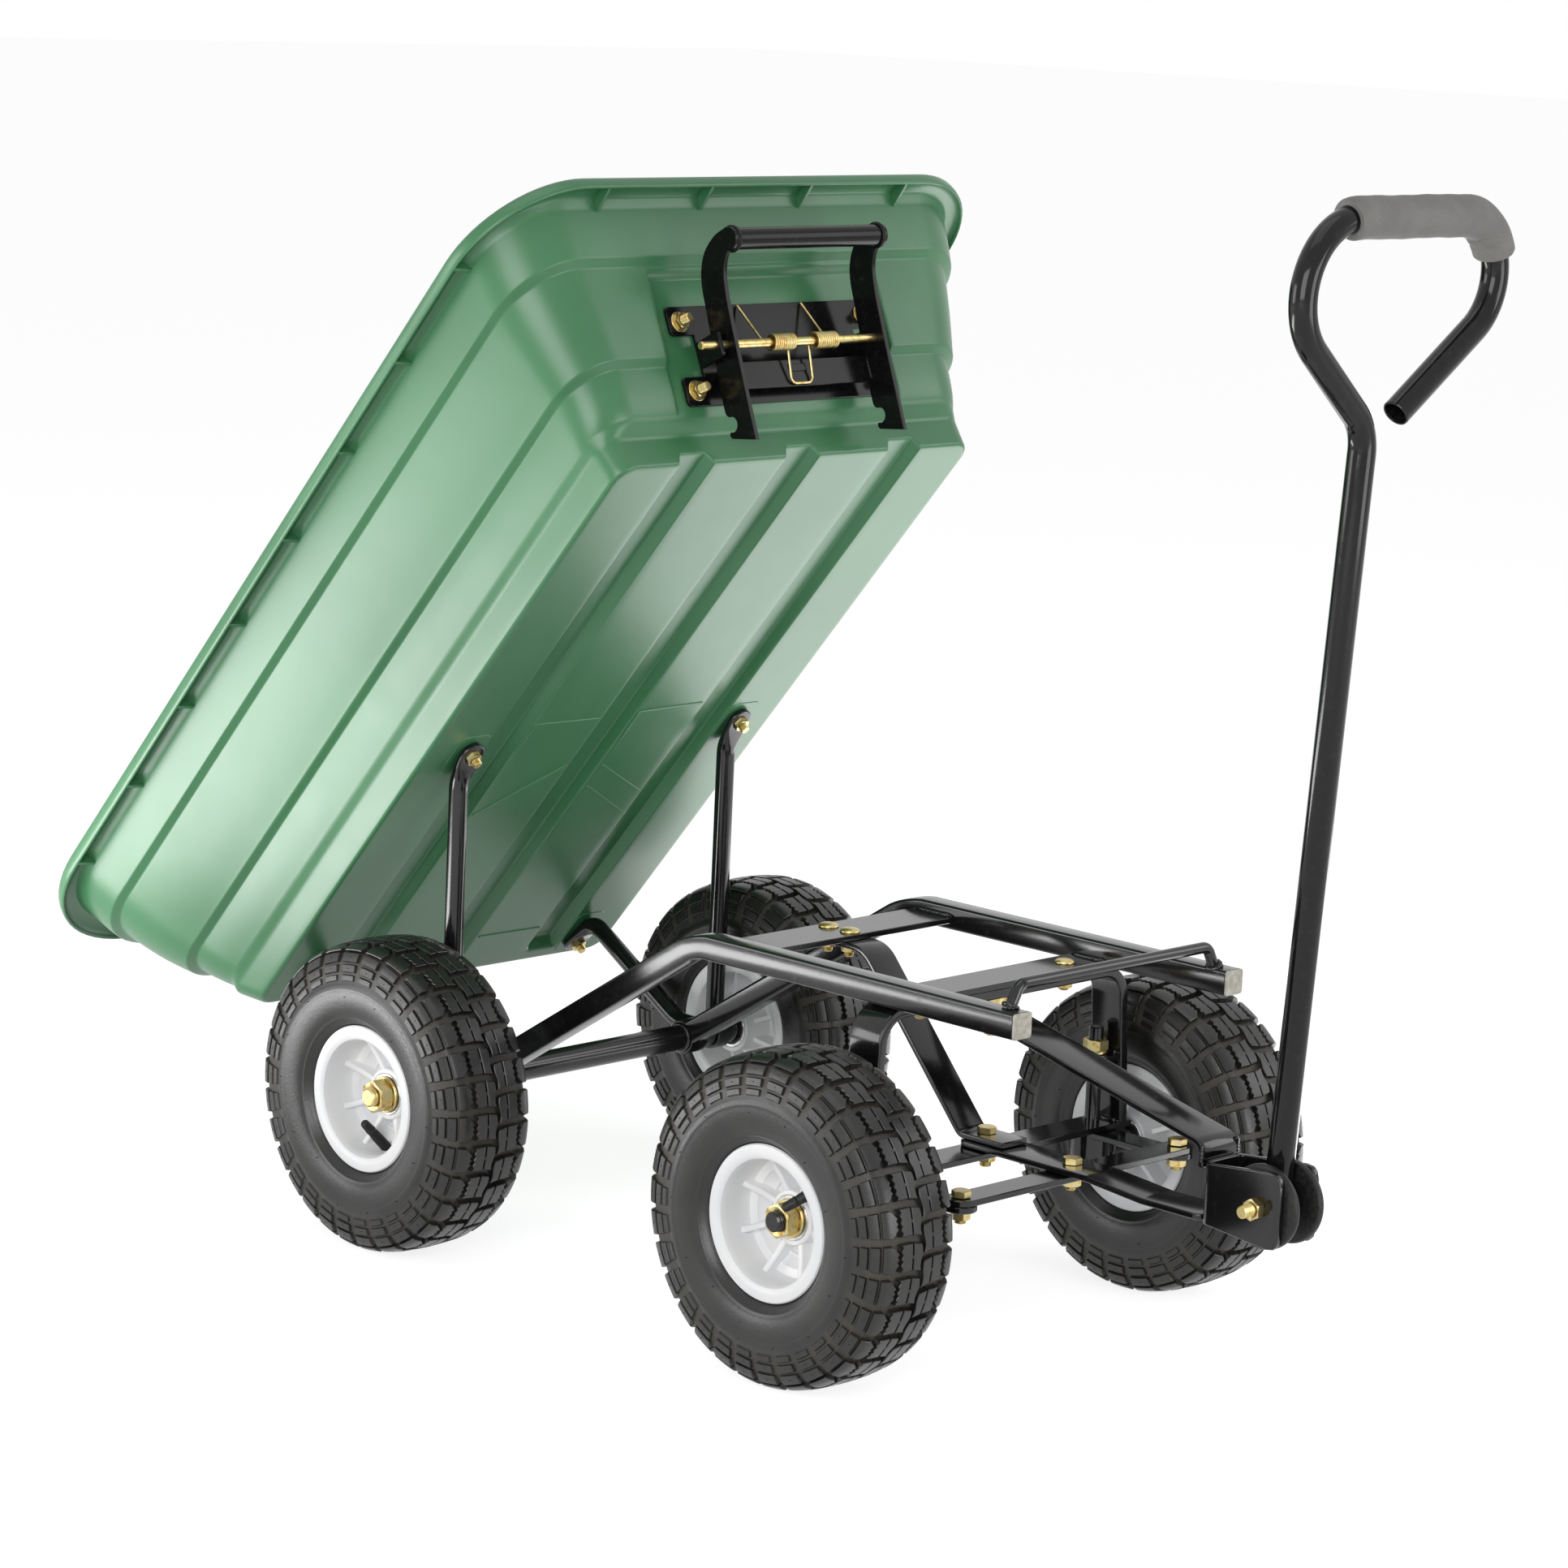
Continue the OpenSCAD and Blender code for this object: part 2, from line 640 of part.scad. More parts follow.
// Angle of each wheel's valve
valve_up = 90;
valve_front = 45;
valve_down = 270;
module tyre_front_left() front_left() tyre_shape();
module tyre_front_right() front_right() tyre_shape();
module tyre_rear_left() rear_left() tyre_shape();
module tyre_rear_right() rear_right() tyre_shape();
module inner_tube_front_left() front_left() inner_tube_shape(valve_down);
module inner_tube_front_right() front_right() inner_tube_shape(valve_front);
module inner_tube_rear_left() rear_left() inner_tube_shape(valve_up);
module inner_tube_rear_right() rear_right() inner_tube_shape(valve_down);
module rim_front_left() front_left() rim_shape(valve_down);
module rim_front_right() front_right() rim_shape(valve_front);
module rim_rear_left() rear_left() rim_shape(valve_up);
module rim_rear_right() rear_right() rim_shape(valve_down);
module bearings_front_left() front_left() bearings_shape();
module bearings_front_right() front_right() bearings_shape();
module bearings_rear_left() rear_left() bearings_shape();
module bearings_rear_right() rear_right() bearings_shape();
module valve_front_left() front_left() valve_shape(valve_down);
module valve_front_right() front_right() valve_shape(valve_front);
module valve_rear_left() rear_left() valve_shape(valve_up);
module valve_rear_right() rear_right() valve_shape(valve_down);

// Frame
rail_path = [[0, axle_z], [rail_bend, rail_mid], [rail_front, rail_mid]];
rail_radii = [0, rail_bend_r, 0];
module rail(s) {
    hollow = rail_w - 2 * rail_wall;
    color(black_paint) difference() {
        union() {
            difference() {
                side_view(s * rail_y) flat_bar(rail_path, rail_radii, rail_w, rail_w);
                side_view(s * rail_y) flat_bar(rail_path, rail_radii, hollow, hollow, overrun);
            }
            translate([0, s * rail_y, axle_z]) rod(rail_boss_d, -rail_w / 2, rail_w / 2);
        }
        translate([0, s * rail_y, axle_z])
            rod(axle_d + 2 * seat_gap, -rail_w / 2 - overrun, rail_w / 2 + overrun);
    }
}
module rail_left() rail(1);
module rail_right() rail(-1);
module rail_plugs() {
    inside = rail_w - 2 * rail_wall - 2 * seat_gap;
    color(off_white) both_sides() translate([rail_front, rail_y, rail_mid]) {
        translate([seat_gap + plug_t / 2, 0, 0]) cube([plug_t, rail_w, rail_w], center = true);
        translate([(seat_gap - plug_l) / 2 + seat_gap, 0, 0])
            cube([plug_l + seat_gap, inside, inside], center = true);
    }
}
module cross_plate(x, w, top) {
    y = rail_in - seat_gap;
    translate([x - w / 2, -y, top - bar_t]) cube([w, 2 * y, bar_t]);
}
module rear_cross_plate() {
    color(black_paint) difference() {
        cross_plate(rear_plate_x, rear_plate_w, plate_top);
        for (s = [-1, 1]) translate([rear_plate_x + s * stay_bolt_gap / 2, 0, 0])
            hole(bolt_d, bolt_gap, plate_top - bar_t, plate_top);
    }
}
module front_cross_plate() {
    color(black_paint) difference() {
        cross_plate(wheelbase, front_plate_w, rail_low + bar_t);
        both_sides() translate([wheelbase, arch_bolt_y, 0])
            hole(bolt_d, bolt_gap, rail_low, rail_low + bar_t);
    }
}
module rear_axle() {
    end = rear_half + hub_out + axle_end;
    color(steel) translate([0, 0, axle_z]) rod(axle_d, -end, end);
}
module rear_axle_tube() {
    y = rail_in - seat_gap;
    color(black_paint) translate([0, -y, axle_z]) rotate([-90, 0, 0])
        ring(axle_tube_d, axle_d / 2 + seat_gap, 2 * y);
}
module rear_axle_collars() {
    bore = axle_d / 2 + seat_gap;
    color(black_paint) both_sides() translate([0, 0, axle_z]) {
        translate([0, rail_out + seat_gap, 0]) rotate([-90, 0, 0])
            ring(collar_d, bore, collar_l - seat_gap - turn_gap);
        translate([0, rear_hub_y - spacer_l + turn_gap, 0]) rotate([-90, 0, 0])
            ring(collar_d, bore, spacer_l - 2 * turn_gap);
    }
}
module rear_axle_nuts() {
    color(zinc) both_sides() translate([0, 0, axle_z]) hub_nut_at(rear_half + hub_out);
}
arch_path = [[-leg_foot_y, cross_low], [-leg_top_y, rail_low - arch_t / 2],
    [leg_top_y, rail_low - arch_t / 2], [leg_foot_y, cross_low]];
arch_radii = [0, arch_r, arch_r, 0];
module front_arch() {
    color(black_paint) difference() {
        front_view(wheelbase) flat_bar(arch_path, arch_radii, arch_t, arch_w, overrun);
        y = leg_foot_y + arch_t + overrun;
        translate([wheelbase - arch_w, -y, cross_low - 2 * overrun])
            cube([2 * arch_w, 2 * y, bar_t + seat_gap + 2 * overrun]);
        both_sides() translate([wheelbase, arch_bolt_y, 0]) hole(bolt_d, bolt_gap, arch_low, rail_low);
    }
}
module arch_bolts() {
    color(zinc) both_sides() translate([wheelbase, arch_bolt_y, rail_low + bar_t])
        dome_bolt(bolt_d, bar_t + arch_t);
}
module lower_cross_bar() {
    y = leg_foot_y + arch_t;
    color(black_paint) difference() {
        translate([wheelbase - arch_w / 2, -y, cross_low]) cube([arch_w, 2 * y, bar_t]);
        translate([wheelbase, 0, 0]) hole(kingpin_d, bolt_gap, cross_low, cross_top);
        both_sides() translate([wheelbase, kingpin_y, 0]) hole(kingpin_d, run_gap, cross_low, cross_top);
    }
}
// Inner face of the arch's leg at a height
function leg_in(z) = leg_top_y + leg_splay * (rail_low - arch_t / 2 - z)
    / (rail_low - arch_t / 2 - cross_low) - arch_t / 2;
module kingpin_brackets() {
    in = kingpin_y - bar_w / 2;
    end = leg_in(bracket_top) - seat_gap * 2;
    color(black_paint) both_sides() difference() {
        translate([wheelbase - arch_w / 2, in, bracket_low]) cube([arch_w, end - in, bar_t]);
        translate([wheelbase, kingpin_y, 0]) hole(kingpin_d, run_gap, bracket_low, bracket_top);
    }
}
stay_top = plate_top - bar_t - seat_gap - bar_t / 2;
stay_path = [[rear_plate_x - rear_plate_w / 2, stay_top], [rear_plate_x + stay_flat, stay_top],
    [wheelbase - stay_foot, foot_low + bar_t / 2], [wheelbase + bar_w, foot_low + bar_t / 2]];
module stay_strap() {
    color(black_paint) difference() {
        side_view() flat_bar(stay_path, [0, stay_r, foot_r, 0], bar_t, bar_w);
        for (s = [-1, 1]) translate([rear_plate_x + s * stay_bolt_gap / 2, 0, 0])
            hole(bolt_d, bolt_gap, stay_top - bar_t, stay_top + bar_t);
        translate([wheelbase, 0, 0]) cylinder(r = kingpin_d / 2 + bolt_gap, h = foot_top + bar_t);
    }
}
module stay_bolts() {
    color(zinc) for (s = [-1, 1])
        translate([rear_plate_x + s * stay_bolt_gap / 2, 0, plate_top])
        dome_bolt(bolt_d, 2 * bar_t + seat_gap);
}
// The rod that the latch hooks hold lies where the hooks are when the tub is down
latch_rod_path = [[-rail_y, rail_top - latch_rod_d], [-rail_y + latch_rod_step, hook_z],
    [rail_y - latch_rod_step, hook_z], [rail_y, rail_top - latch_rod_d]];
module latch_rod() {
    color(black_paint) difference() {
        front_view(hook_x) round_bar(latch_rod_path, [0, latch_rod_r, latch_rod_r, 0], latch_rod_d);
        translate([hook_x - latch_rod_d, -rail_spread, rail_top - 2 * rail_w])
            cube([2 * latch_rod_d, 2 * rail_spread, 2 * rail_w + seat_gap]);
    }
}
module steering_pivots() {
    color(zinc) {
        translate([wheelbase, 0, foot_top]) hex_bolt(kingpin_d, foot_top - cross_low);
        translate([wheelbase, 0, tongue_z - bar_t / 2 - turn_gap]) {
            translate([0, 0, -stud_d * nut_h_share]) nut(stud_d, stud_d * nut_h_share);
            translate([0, 0, -stud_d])
                cylinder(d = stud_d, h = arch_low - seat_gap - tongue_z + bar_t / 2 + turn_gap + stud_d);
        }
        spacer_low = tongue_z + bar_t / 2 + turn_gap;
        translate([wheelbase, 0, spacer_low])
            ring(2 * stud_d, stud_d / 2 + thread_gap, arch_low - seat_gap - spacer_low);
    }
}

// Drawbar
bar_mid = drawbar_low + bar_t / 2;
drawbar_path = [[wheelbase - bar_w / 2, bar_mid], [tie_x + bar_w, bar_mid],
    [clevis_x - 2 * bar_w, bar_mid - drawbar_step], [clevis_x - seat_gap, bar_mid - drawbar_step]];
module drawbar_bar() {
    color(black_paint) difference() {
        side_view() flat_bar(drawbar_path, [0, stay_r, stay_r, 0], bar_t, bar_w);
        translate([wheelbase, 0, 0]) hole(kingpin_d, run_gap, drawbar_low, drawbar_top);
        translate([tie_x, 0, 0]) hole(tie_bolt_d, bolt_gap, drawbar_low, drawbar_top);
    }
}
tongue_share = 0.6;
strap_foot_x = clevis_x - seat_gap - bar_t / 2;
strap_path = [[wheelbase - strap_w / 2, tongue_z], [wheelbase + strap_w * tongue_share, tongue_z],
    [strap_foot_x, pivot_z + strap_drop_z], [strap_foot_x, pivot_z + strap_drop_z / 2]];
module drawbar_strap() {
    color(black_paint) difference() {
        side_view() flat_bar(strap_path, [0, stay_r, foot_r, 0], bar_t, strap_w);
        translate([wheelbase, 0, 0]) hole(stud_d, run_gap, tongue_z - bar_t / 2, tongue_z + bar_t / 2);
    }
}
cheek_in = handle_d / 2 + seat_gap + disc_t + turn_gap;
cheek_out = cheek_in + bar_t;
clevis_low = pivot_z - clevis_back_h / 2;
module clevis() {
    end = clevis_back + clevis_front;
    color(black_paint) difference() {
        translate([clevis_x, 0, pivot_z]) {
            both_sides() translate([0, cheek_in, 0]) rotate([90, 0, 0]) translate([0, 0, -bar_t])
                linear_extrude(bar_t) polygon([[0, -clevis_back_h / 2], [end, -clevis_front_h / 2],
                    [end, clevis_front_h / 2], [0, clevis_back_h / 2]]);
            translate([0, -cheek_out, -clevis_back_h / 2]) cube([bar_t, 2 * cheek_out, clevis_back_h]);
        }
        translate([pivot_x, 0, pivot_z])
            rod(pivot_d + 2 * bolt_gap, -cheek_out - overrun, cheek_out + overrun);
    }
}
module clevis_bolt() {
    color(zinc) translate([pivot_x, cheek_out, pivot_z]) rotate([-90, 0, 0])
        hex_bolt(pivot_d, 2 * cheek_out);
}
tie_grip = drawbar_top - cross_low + turn_gap;
module centre_tie_bolt() {
    color(zinc) translate([tie_x, 0, drawbar_top]) hex_bolt(tie_bolt_d, tie_grip);
}
module tie_bar() {
    color(black_paint) difference() {
        translate([0, 0, cross_low]) linear_extrude(bar_t)
            flat_link([tie_x, -kingpin_y], [tie_x, kingpin_y], arm_w);
        for (y = [-kingpin_y, 0, kingpin_y]) translate([tie_x, y, 0])
            hole(tie_bolt_d, run_gap, cross_low, cross_top);
    }
}

// Front stub axles
module knuckle_shape() {
    top = bracket_top + kingpin_end;
    low = axle_z - boss_d / 2;
    color(black_paint) difference() {
        union() {
            translate([wheelbase, kingpin_y, low]) {
                cylinder(d = kingpin_d, h = top - low);
                cylinder(d = boss_d, h = arm_top - low);
            }
            translate([wheelbase, kingpin_y, axle_z]) {
                rod(shoulder_d, 0, shoulder_l - turn_gap);
                rod(axle_d, 0, shoulder_l + hub_in + hub_out + axle_end);
            }
            translate([0, 0, arm_low]) linear_extrude(bar_t)
                flat_link([wheelbase, kingpin_y], [tie_x, kingpin_y], arm_w);
        }
        translate([tie_x, kingpin_y, 0]) hole(tie_bolt_d, bolt_gap, arm_low, arm_top);
    }
}
module knuckle_hardware() {
    color(zinc) {
        translate([wheelbase, kingpin_y, bracket_top + turn_gap]) {
            ring(kingpin_d * thin_washer_share, kingpin_d / 2 + thread_gap, washer_t);
            translate([0, 0, washer_t]) nut(kingpin_d, kingpin_d * nut_h_share);
        }
        translate([wheelbase, 0, axle_z]) hub_nut_at(front_half + hub_out);
        translate([tie_x, kingpin_y, cross_top + turn_gap])
            hex_bolt(tie_bolt_d, cross_top + turn_gap - arm_low);
    }
}
module knuckle_left() knuckle_shape();
module knuckle_right() scale([1, -1, 1]) knuckle_shape();
module knuckle_hardware_left() knuckle_hardware();
module knuckle_hardware_right() scale([1, -1, 1]) knuckle_hardware();

// Handle
module in_handle() {
    translate([pivot_x, 0, pivot_z]) rotate([0, handle_lean, 0]) rotate([90, 0, 90]) children();
}
handle_path = path([0, 0], 90, handle_lens, handle_turns, handle_radii);
handle_bends = concat([0], handle_radii, [0]);
handle_run = concat([[0, -shaft_foot]], [for (i = [1 : len(handle_path) - 1]) handle_path[i]]);
module handle_tube() {
    color(black_paint) difference() {
        in_handle() round_bar(handle_run, handle_bends, handle_d);
        in_handle() round_bar(handle_run, handle_bends, handle_d - 2 * handle_wall, overrun);
        translate([pivot_x, 0, pivot_z]) rod(pivot_d + 2 * run_gap, -handle_d, handle_d);
    }
}
module handle_discs() {
    color(black_paint) both_sides() translate([pivot_x, handle_d / 2 + seat_gap, pivot_z])
        rotate([-90, 0, 0]) ring(disc_d, pivot_d / 2 + run_gap, disc_t);
}
// The straight grip starts where the second bend ends
grip_turn = handle_turns[0] + handle_turns[1];
grip_start = handle_path[2] + tangent(handle_turns, handle_radii, 1) * along(90 + grip_turn);
foam_start = grip_start + handle_radii[1] * (along(grip_turn) - along(grip_turn + foam_angles[0])) * -1;
foam_heading = 90 + grip_turn + foam_angles[0];
foam_path = path(foam_start, foam_heading, [0, grip_l, 0], [-foam_angles[0], -foam_angles[1]],
    [handle_radii[1], handle_radii[2]]);
foam_bends = [0, handle_radii[1], handle_radii[2], 0];
module handle_grip() {
    color(foam) in_handle() difference() {
        round_bar(foam_path, foam_bends, foam_d);
        round_bar(handle_run, handle_bends, handle_d + 2 * seat_gap);
    }
}

// Tub, drawn as it lies on the rails and then tipped about the rear axle
lip_t = tub_t;
lip_low = tub_h - lip_t;
cove_share = 0.75;
module tipped() {
    translate([0, 0, axle_z]) rotate([0, -tip_angle, 0]) translate([0, 0, -axle_z]) children();
}
// A level of the tub: height, growth to the front, the sides and the rear, corner radius
function wall_level(z, steps, inset = 0) =
    let (g = steps * ledge_step - inset, up = (z - wall_low) / (tub_h - wall_low))
    [z, pan_out + (z - wall_low) * tan(front_draft) + g,
        pan_out + (z - wall_low) * tan(side_draft) + g,
        z * tan(rear_draft) + g, band_r + (top_r - band_r) * up - inset];
function pan_level(z, lift, inset) =
    [z + lift, z * tan(pan_draft) - inset, z * tan(pan_draft) - inset,
        z * tan(rear_draft) - inset, pan_r - inset / 2];
function rim_level(z, out) =
    let (w = wall_level(lip_low, 2)) [z, w[1] + out, w[2] + out, w[3] + out, w[4] + out];
lift = tub_t * cove_share;
edge = lip_t / 4;
tub_levels = [
    pan_level(0, 0, 0), pan_level(pan_h, 0, 0), wall_level(wall_low, 0),
    wall_level(ledge_low, 0), wall_level(ledge_low + ledge_step, 1),
    wall_level(ledge_high, 1), wall_level(ledge_high + ledge_step, 2),
    wall_level(lip_low, 2), rim_level(lip_low, lip_w - lip_t), rim_level(tub_h - lip_h, lip_w - lip_t),
    rim_level(tub_h - lip_h, lip_w), rim_level(lip_low, lip_w), rim_level(tub_h - edge, lip_w - edge),
    rim_level(tub_h, lip_w - lip_t), rim_level(tub_h, -edge), rim_level(lip_low, -tub_t),
    wall_level(ledge_high + ledge_step + lift, 2, tub_t), wall_level(ledge_high + lift, 1, tub_t),
    wall_level(ledge_low + ledge_step + lift, 1, tub_t), wall_level(ledge_low + lift, 0, tub_t),
    wall_level(wall_low + lift, 0, tub_t), pan_level(pan_h, lift, tub_t), pan_level(0, tub_t, tub_t)];
arc_n = 6;
function quarter(x, y, r, a) = [for (i = [0 : arc_n]) [x, y] + r * along(a + 90 * i / arc_n)];
function outline(v) =
    let (f = floor_front + v[1], b = -floor_rear - v[3], w = floor_w / 2 + v[2], r = v[4])
    concat(quarter(f - r, w - r, r, 0), quarter(b + r, w - r, r, 90),
        quarter(b + r, r - w, r, 180), quarter(f - r, r - w, r, 270));
ring_n = 4 * (arc_n + 1);
level_n = len(tub_levels);
tub_points = [for (v = tub_levels) for (p = outline(v)) [p.x, p.y, floor_z + v[0]]];
tub_faces = concat(
    [[for (j = [0 : ring_n - 1]) j]],
    [for (i = [0 : level_n - 2]) for (j = [0 : ring_n - 1])
        [i * ring_n + j, (i + 1) * ring_n + j, (i + 1) * ring_n + (j + 1) % ring_n]],
    [for (i = [0 : level_n - 2]) for (j = [0 : ring_n - 1])
        [i * ring_n + j, (i + 1) * ring_n + (j + 1) % ring_n, i * ring_n + (j + 1) % ring_n]],
    [[for (j = [ring_n - 1 : -1 : 0]) (level_n - 1) * ring_n + j]]);

// Local axes on the lower band of the front wall: +X out of the wall, +Z up along it
module on_wall() {
    translate([wall_x, 0, floor_z + wall_low]) rotate([0, front_draft, 0]) children();
}
recess_y = lever_y + ear_l + 3 * tub_t;
recess_n = ledge_step * cos(front_draft) - tub_t;
recess_top = (ledge_high - wall_low - tub_t) / cos(front_draft);
recess_low = tub_t;
latch_y = lever_y + ear_l / 2 + bracket_t;
// Heights of the latch bracket's bolts above the pin as shares of the hooks' distance
latch_bolt_shares = [0.46, -0.47];
module groove(w, top, z0, h, x0, x1) {
    translate([x0, 0, floor_z + z0]) rotate([90, 0, 90]) linear_extrude(x1 - x0)
        polygon([[-w / 2, 0], [w / 2, 0], [top / 2, h], [-top / 2, h]]);
}
groove_slope_share = 1.2;
groove_top = groove_w - groove_slope_share * groove_d;
module gusset() {
    out = lip_w - 2 * lip_t + lip_t / 2;
    foot = -gusset_h * tan(rear_draft) / 2 - tub_t / 2;
    rotate([90, 0, 0]) translate([0, 0, -gusset_t / 2]) linear_extrude(gusset_t)
        polygon([[-tub_t, lip_t / 2], [out, lip_t / 2], [out, 0], [foot, -gusset_h],
            [foot - tub_t / 2, -gusset_h]]);
}
module gussets() {
    w = wall_level(lip_low, 2);
    front = floor_front + w[1] - w[4];
    rear = -floor_rear - w[3] + w[4];
    y = floor_w / 2 + w[2];
    for (i = [0 : gusset_side_n - 1]) both_sides()
        translate([rear + (front - rear) * i / (gusset_side_n - 1), y, floor_z + lip_low])
            rotate([0, 0, 90]) gusset();
    for (i = [0 : gusset_end_n - 1]) {
        side = (y - w[4]) * (2 * i / (gusset_end_n - 1) - 1);
        translate([floor_front + w[1], side, floor_z + lip_low]) gusset();
        translate([-floor_rear - w[3], side, floor_z + lip_low]) rotate([0, 0, 180]) gusset();
    }
}
module at_support_bolts() {
    both_sides() for (x = [support_front, -support_rear])
        translate([x, support_y, floor_z]) children();
}
module at_latch_bolts() {
    both_sides() for (share = latch_bolt_shares)
        on_wall() translate([recess_n, latch_y, latch_pin_up + share * latch_drop])
        rotate([0, 90, 0]) children();
}
module bed_tub() {
    color(green) tipped() difference() {
        union() {
            polyhedron(points = tub_points, faces = tub_faces);
            gussets();
            for (y = [-groove_y, 0, groove_y]) translate([0, y, 0])
                groove(groove_w + 2 * tub_t, groove_top + 2 * tub_t, tub_t / 2, groove_d + tub_t / 2,
                    -floor_rear, floor_front - tub_t / 2);
            on_wall() translate([recess_n - tub_t, -recess_y - tub_t, recess_low])
                cube([tub_t, 2 * (recess_y + tub_t), recess_top - recess_low + tub_t]);
        }
        for (y = [-groove_y, 0, groove_y]) translate([0, y, 0])
            groove(groove_w + 2 * seat_gap, groove_top, -seat_gap, groove_d,
                -floor_rear + 4 * tub_t, floor_front + pan_out);
        on_wall() translate([recess_n, -recess_y, recess_low])
            cube([ledge_step + overrun, 2 * recess_y, recess_top - recess_low]);
        at_support_bolts() hole(bolt_d, bolt_gap, 0, tub_t);
        at_latch_bolts() hole(bolt_d, bolt_gap, -2 * tub_t, tub_t);
    }
}

// Supports of the tub on the rear axle
tab_t = bar_t;
tab_low = floor_z - seat_gap - tab_t;
// Bend and upper end of a support's rear leg as shares of the rails' height
rear_leg_shares = [[-0.17, 0.2], [-0.3, 1]];
rear_leg = [[0, axle_z], [0, axle_z] + rail_rise * rear_leg_shares[0],
    [rail_rise * rear_leg_shares[1].x, floor_z]];
front_leg = [[0, axle_z], [(floor_z - axle_z) / tan(support_lean), floor_z]];
module tab(x, end) {
    translate([0, support_y, tab_low]) linear_extrude(tab_t) flat_link([x, 0], [end, 0], tab_w);
}
module support() {
    color(black_paint) tipped() difference() {
        union() {
            difference() {
                union() {
                    side_view(support_y) round_bar(front_leg, [0, 0], support_d);
                    side_view(support_y) round_bar(rear_leg, [0, 2 * support_d, 0], support_d);
                }
                translate([-support_front * 2, 0, floor_z - seat_gap - tab_t / 2])
                    cube([support_front * 4, 2 * support_y, rail_w]);
            }
            tab(support_front - tab_l + tab_w / 2, support_front);
            tab(-support_rear, -support_rear + tab_l);
            translate([0, support_y, axle_z]) rod(eye_d, -eye_w / 2, eye_w / 2);
        }
        translate([0, support_y, axle_z])
            rod(axle_d + 2 * run_gap, -eye_w / 2 - overrun, eye_w / 2 + overrun);
        for (x = [support_front, -support_rear]) translate([x, support_y, 0])
            hole(bolt_d, bolt_gap, tab_low, tab_low + tab_t);
    }
}
module support_left() support();
module support_right() translate([0, -2 * support_y, 0]) support();
module support_bolts() {
    color(zinc) tipped() at_support_bolts() translate([0, 0, tub_t])
        dome_bolt(bolt_d, tub_t + seat_gap + tab_t);
}

// Latch
plate_n = recess_n + seat_gap;
lever_in = lever_y - lever_t;
tab_y = lever_y + turn_gap * 3;
pin_end = tab_y + bracket_t + latch_pin_reach;
pin_tail = tab_y + bracket_t + latch_pin_tail;
module at_pin() {
    tipped() on_wall() translate([latch_pin_out, 0, latch_pin_up]) children();
}
// Bracket outline as shares of its height
bracket_top_share = 0.5;
ear_h_share = 0.29;
module latch_bracket() {
    top = bracket_h * bracket_top_share;
    low = top - bracket_h;
    ear_h = bracket_h * ear_h_share;
    side = tab_y + bracket_t;
    color(black_paint) difference() {
        union() {
            tipped() on_wall() translate([plate_n, 0, latch_pin_up]) {
                translate([0, -side, low]) cube([bracket_t, 2 * side, bracket_h]);
                for (z = [low, top - ear_h])
                    translate([0, -lever_y - ear_l, z]) cube([bracket_t, 2 * (lever_y + ear_l), ear_h]);
            }
            both_sides() at_pin() translate([0, tab_y, 0]) rotate([-90, 0, 0]) linear_extrude(bracket_t)
                translate([plate_n - latch_pin_out, -3 * latch_pin_d / 2])
                    square([latch_pin_out - plate_n + latch_pin_d, 3 * latch_pin_d]);
        }
        at_pin() rod(latch_pin_d + 2 * run_gap, -side - overrun, side + overrun);
        tipped() at_latch_bolts() hole(bolt_d, bolt_gap, 0, bracket_t);
    }
}
module latch_bracket_bolts() {
    seat = tub_t + 2 * seat_gap;
    color(zinc) tipped() at_latch_bolts() translate([0, 0, -seat]) rotate([180, 0, 0])
        dome_bolt(bolt_d, seat + seat_gap + bracket_t);
}
module latch_pin() {
    color(zinc) at_pin() rod(latch_pin_d, -pin_end, pin_tail);
}
// Edge of a lever plate around the pin as shares of the hook's distance: out of the wall, up
lever_shares = [[0.107, -1.32], [-0.287, -1.18], [-0.33, -1.13], [-0.33, -1.09], [-0.213, -1],
    [-0.254, -0.885], [-0.323, -0.833], [-0.318, -0.63], [-0.189, 0.585], [-0.17, 0.784],
    [-0.133, 0.975], [-0.059, 1.111], [0.025, 1.23], [0.136, 1.316], [0.295, 1.385], [0.45, 1.415],
    [0.457, 1.113], [0.359, 1.011], [0.285, 0.856], [0.254, 0.707], [0.208, 0.361], [0.151, -0.482]];
grip_shares = [0.508, 1.254];
grip_boss_share = 1.1;
hook_share = 1.4;
hook_d = latch_rod_d * hook_share;
web_shares = [-0.27, -0.54, -0.18];
module lever_outline() {
    difference() {
        union() {
            polygon([for (p = lever_shares) latch_drop * p]);
            translate(latch_drop * grip_shares) circle(d = latch_grip_d * grip_boss_share);
        }
        translate([hook_n - latch_pin_out, -latch_drop]) {
            circle(d = hook_d);
            translate([-latch_drop, -hook_d / 2]) square([latch_drop, hook_d]);
        }
    }
}
module latch_lever() {
    color(black_paint) at_pin() difference() {
        union() {
            both_sides() translate([0, lever_y, 0]) rotate([90, 0, 0])
                linear_extrude(lever_t) lever_outline();
            translate([latch_drop * web_shares[0], -lever_in - lever_t / 2, latch_drop * web_shares[1]])
                cube([bracket_t, 2 * lever_in + lever_t, latch_drop * (web_shares[2] - web_shares[1])]);
            translate([latch_drop * grip_shares[0], 0, latch_drop * grip_shares[1]])
                rod(grip_rod_d, -lever_in - lever_t / 2, lever_in + lever_t / 2);
        }
        rod(latch_pin_d + 2 * run_gap, -lever_y - overrun, lever_y + overrun);
    }
}
module latch_grip() {
    color(black_paint) at_pin()
        translate([latch_drop * grip_shares[0], -lever_in + seat_gap, latch_drop * grip_shares[1]])
        rotate([-90, 0, 0]) ring(latch_grip_d, grip_rod_d / 2 + seat_gap, 2 * (lever_in - seat_gap));
}

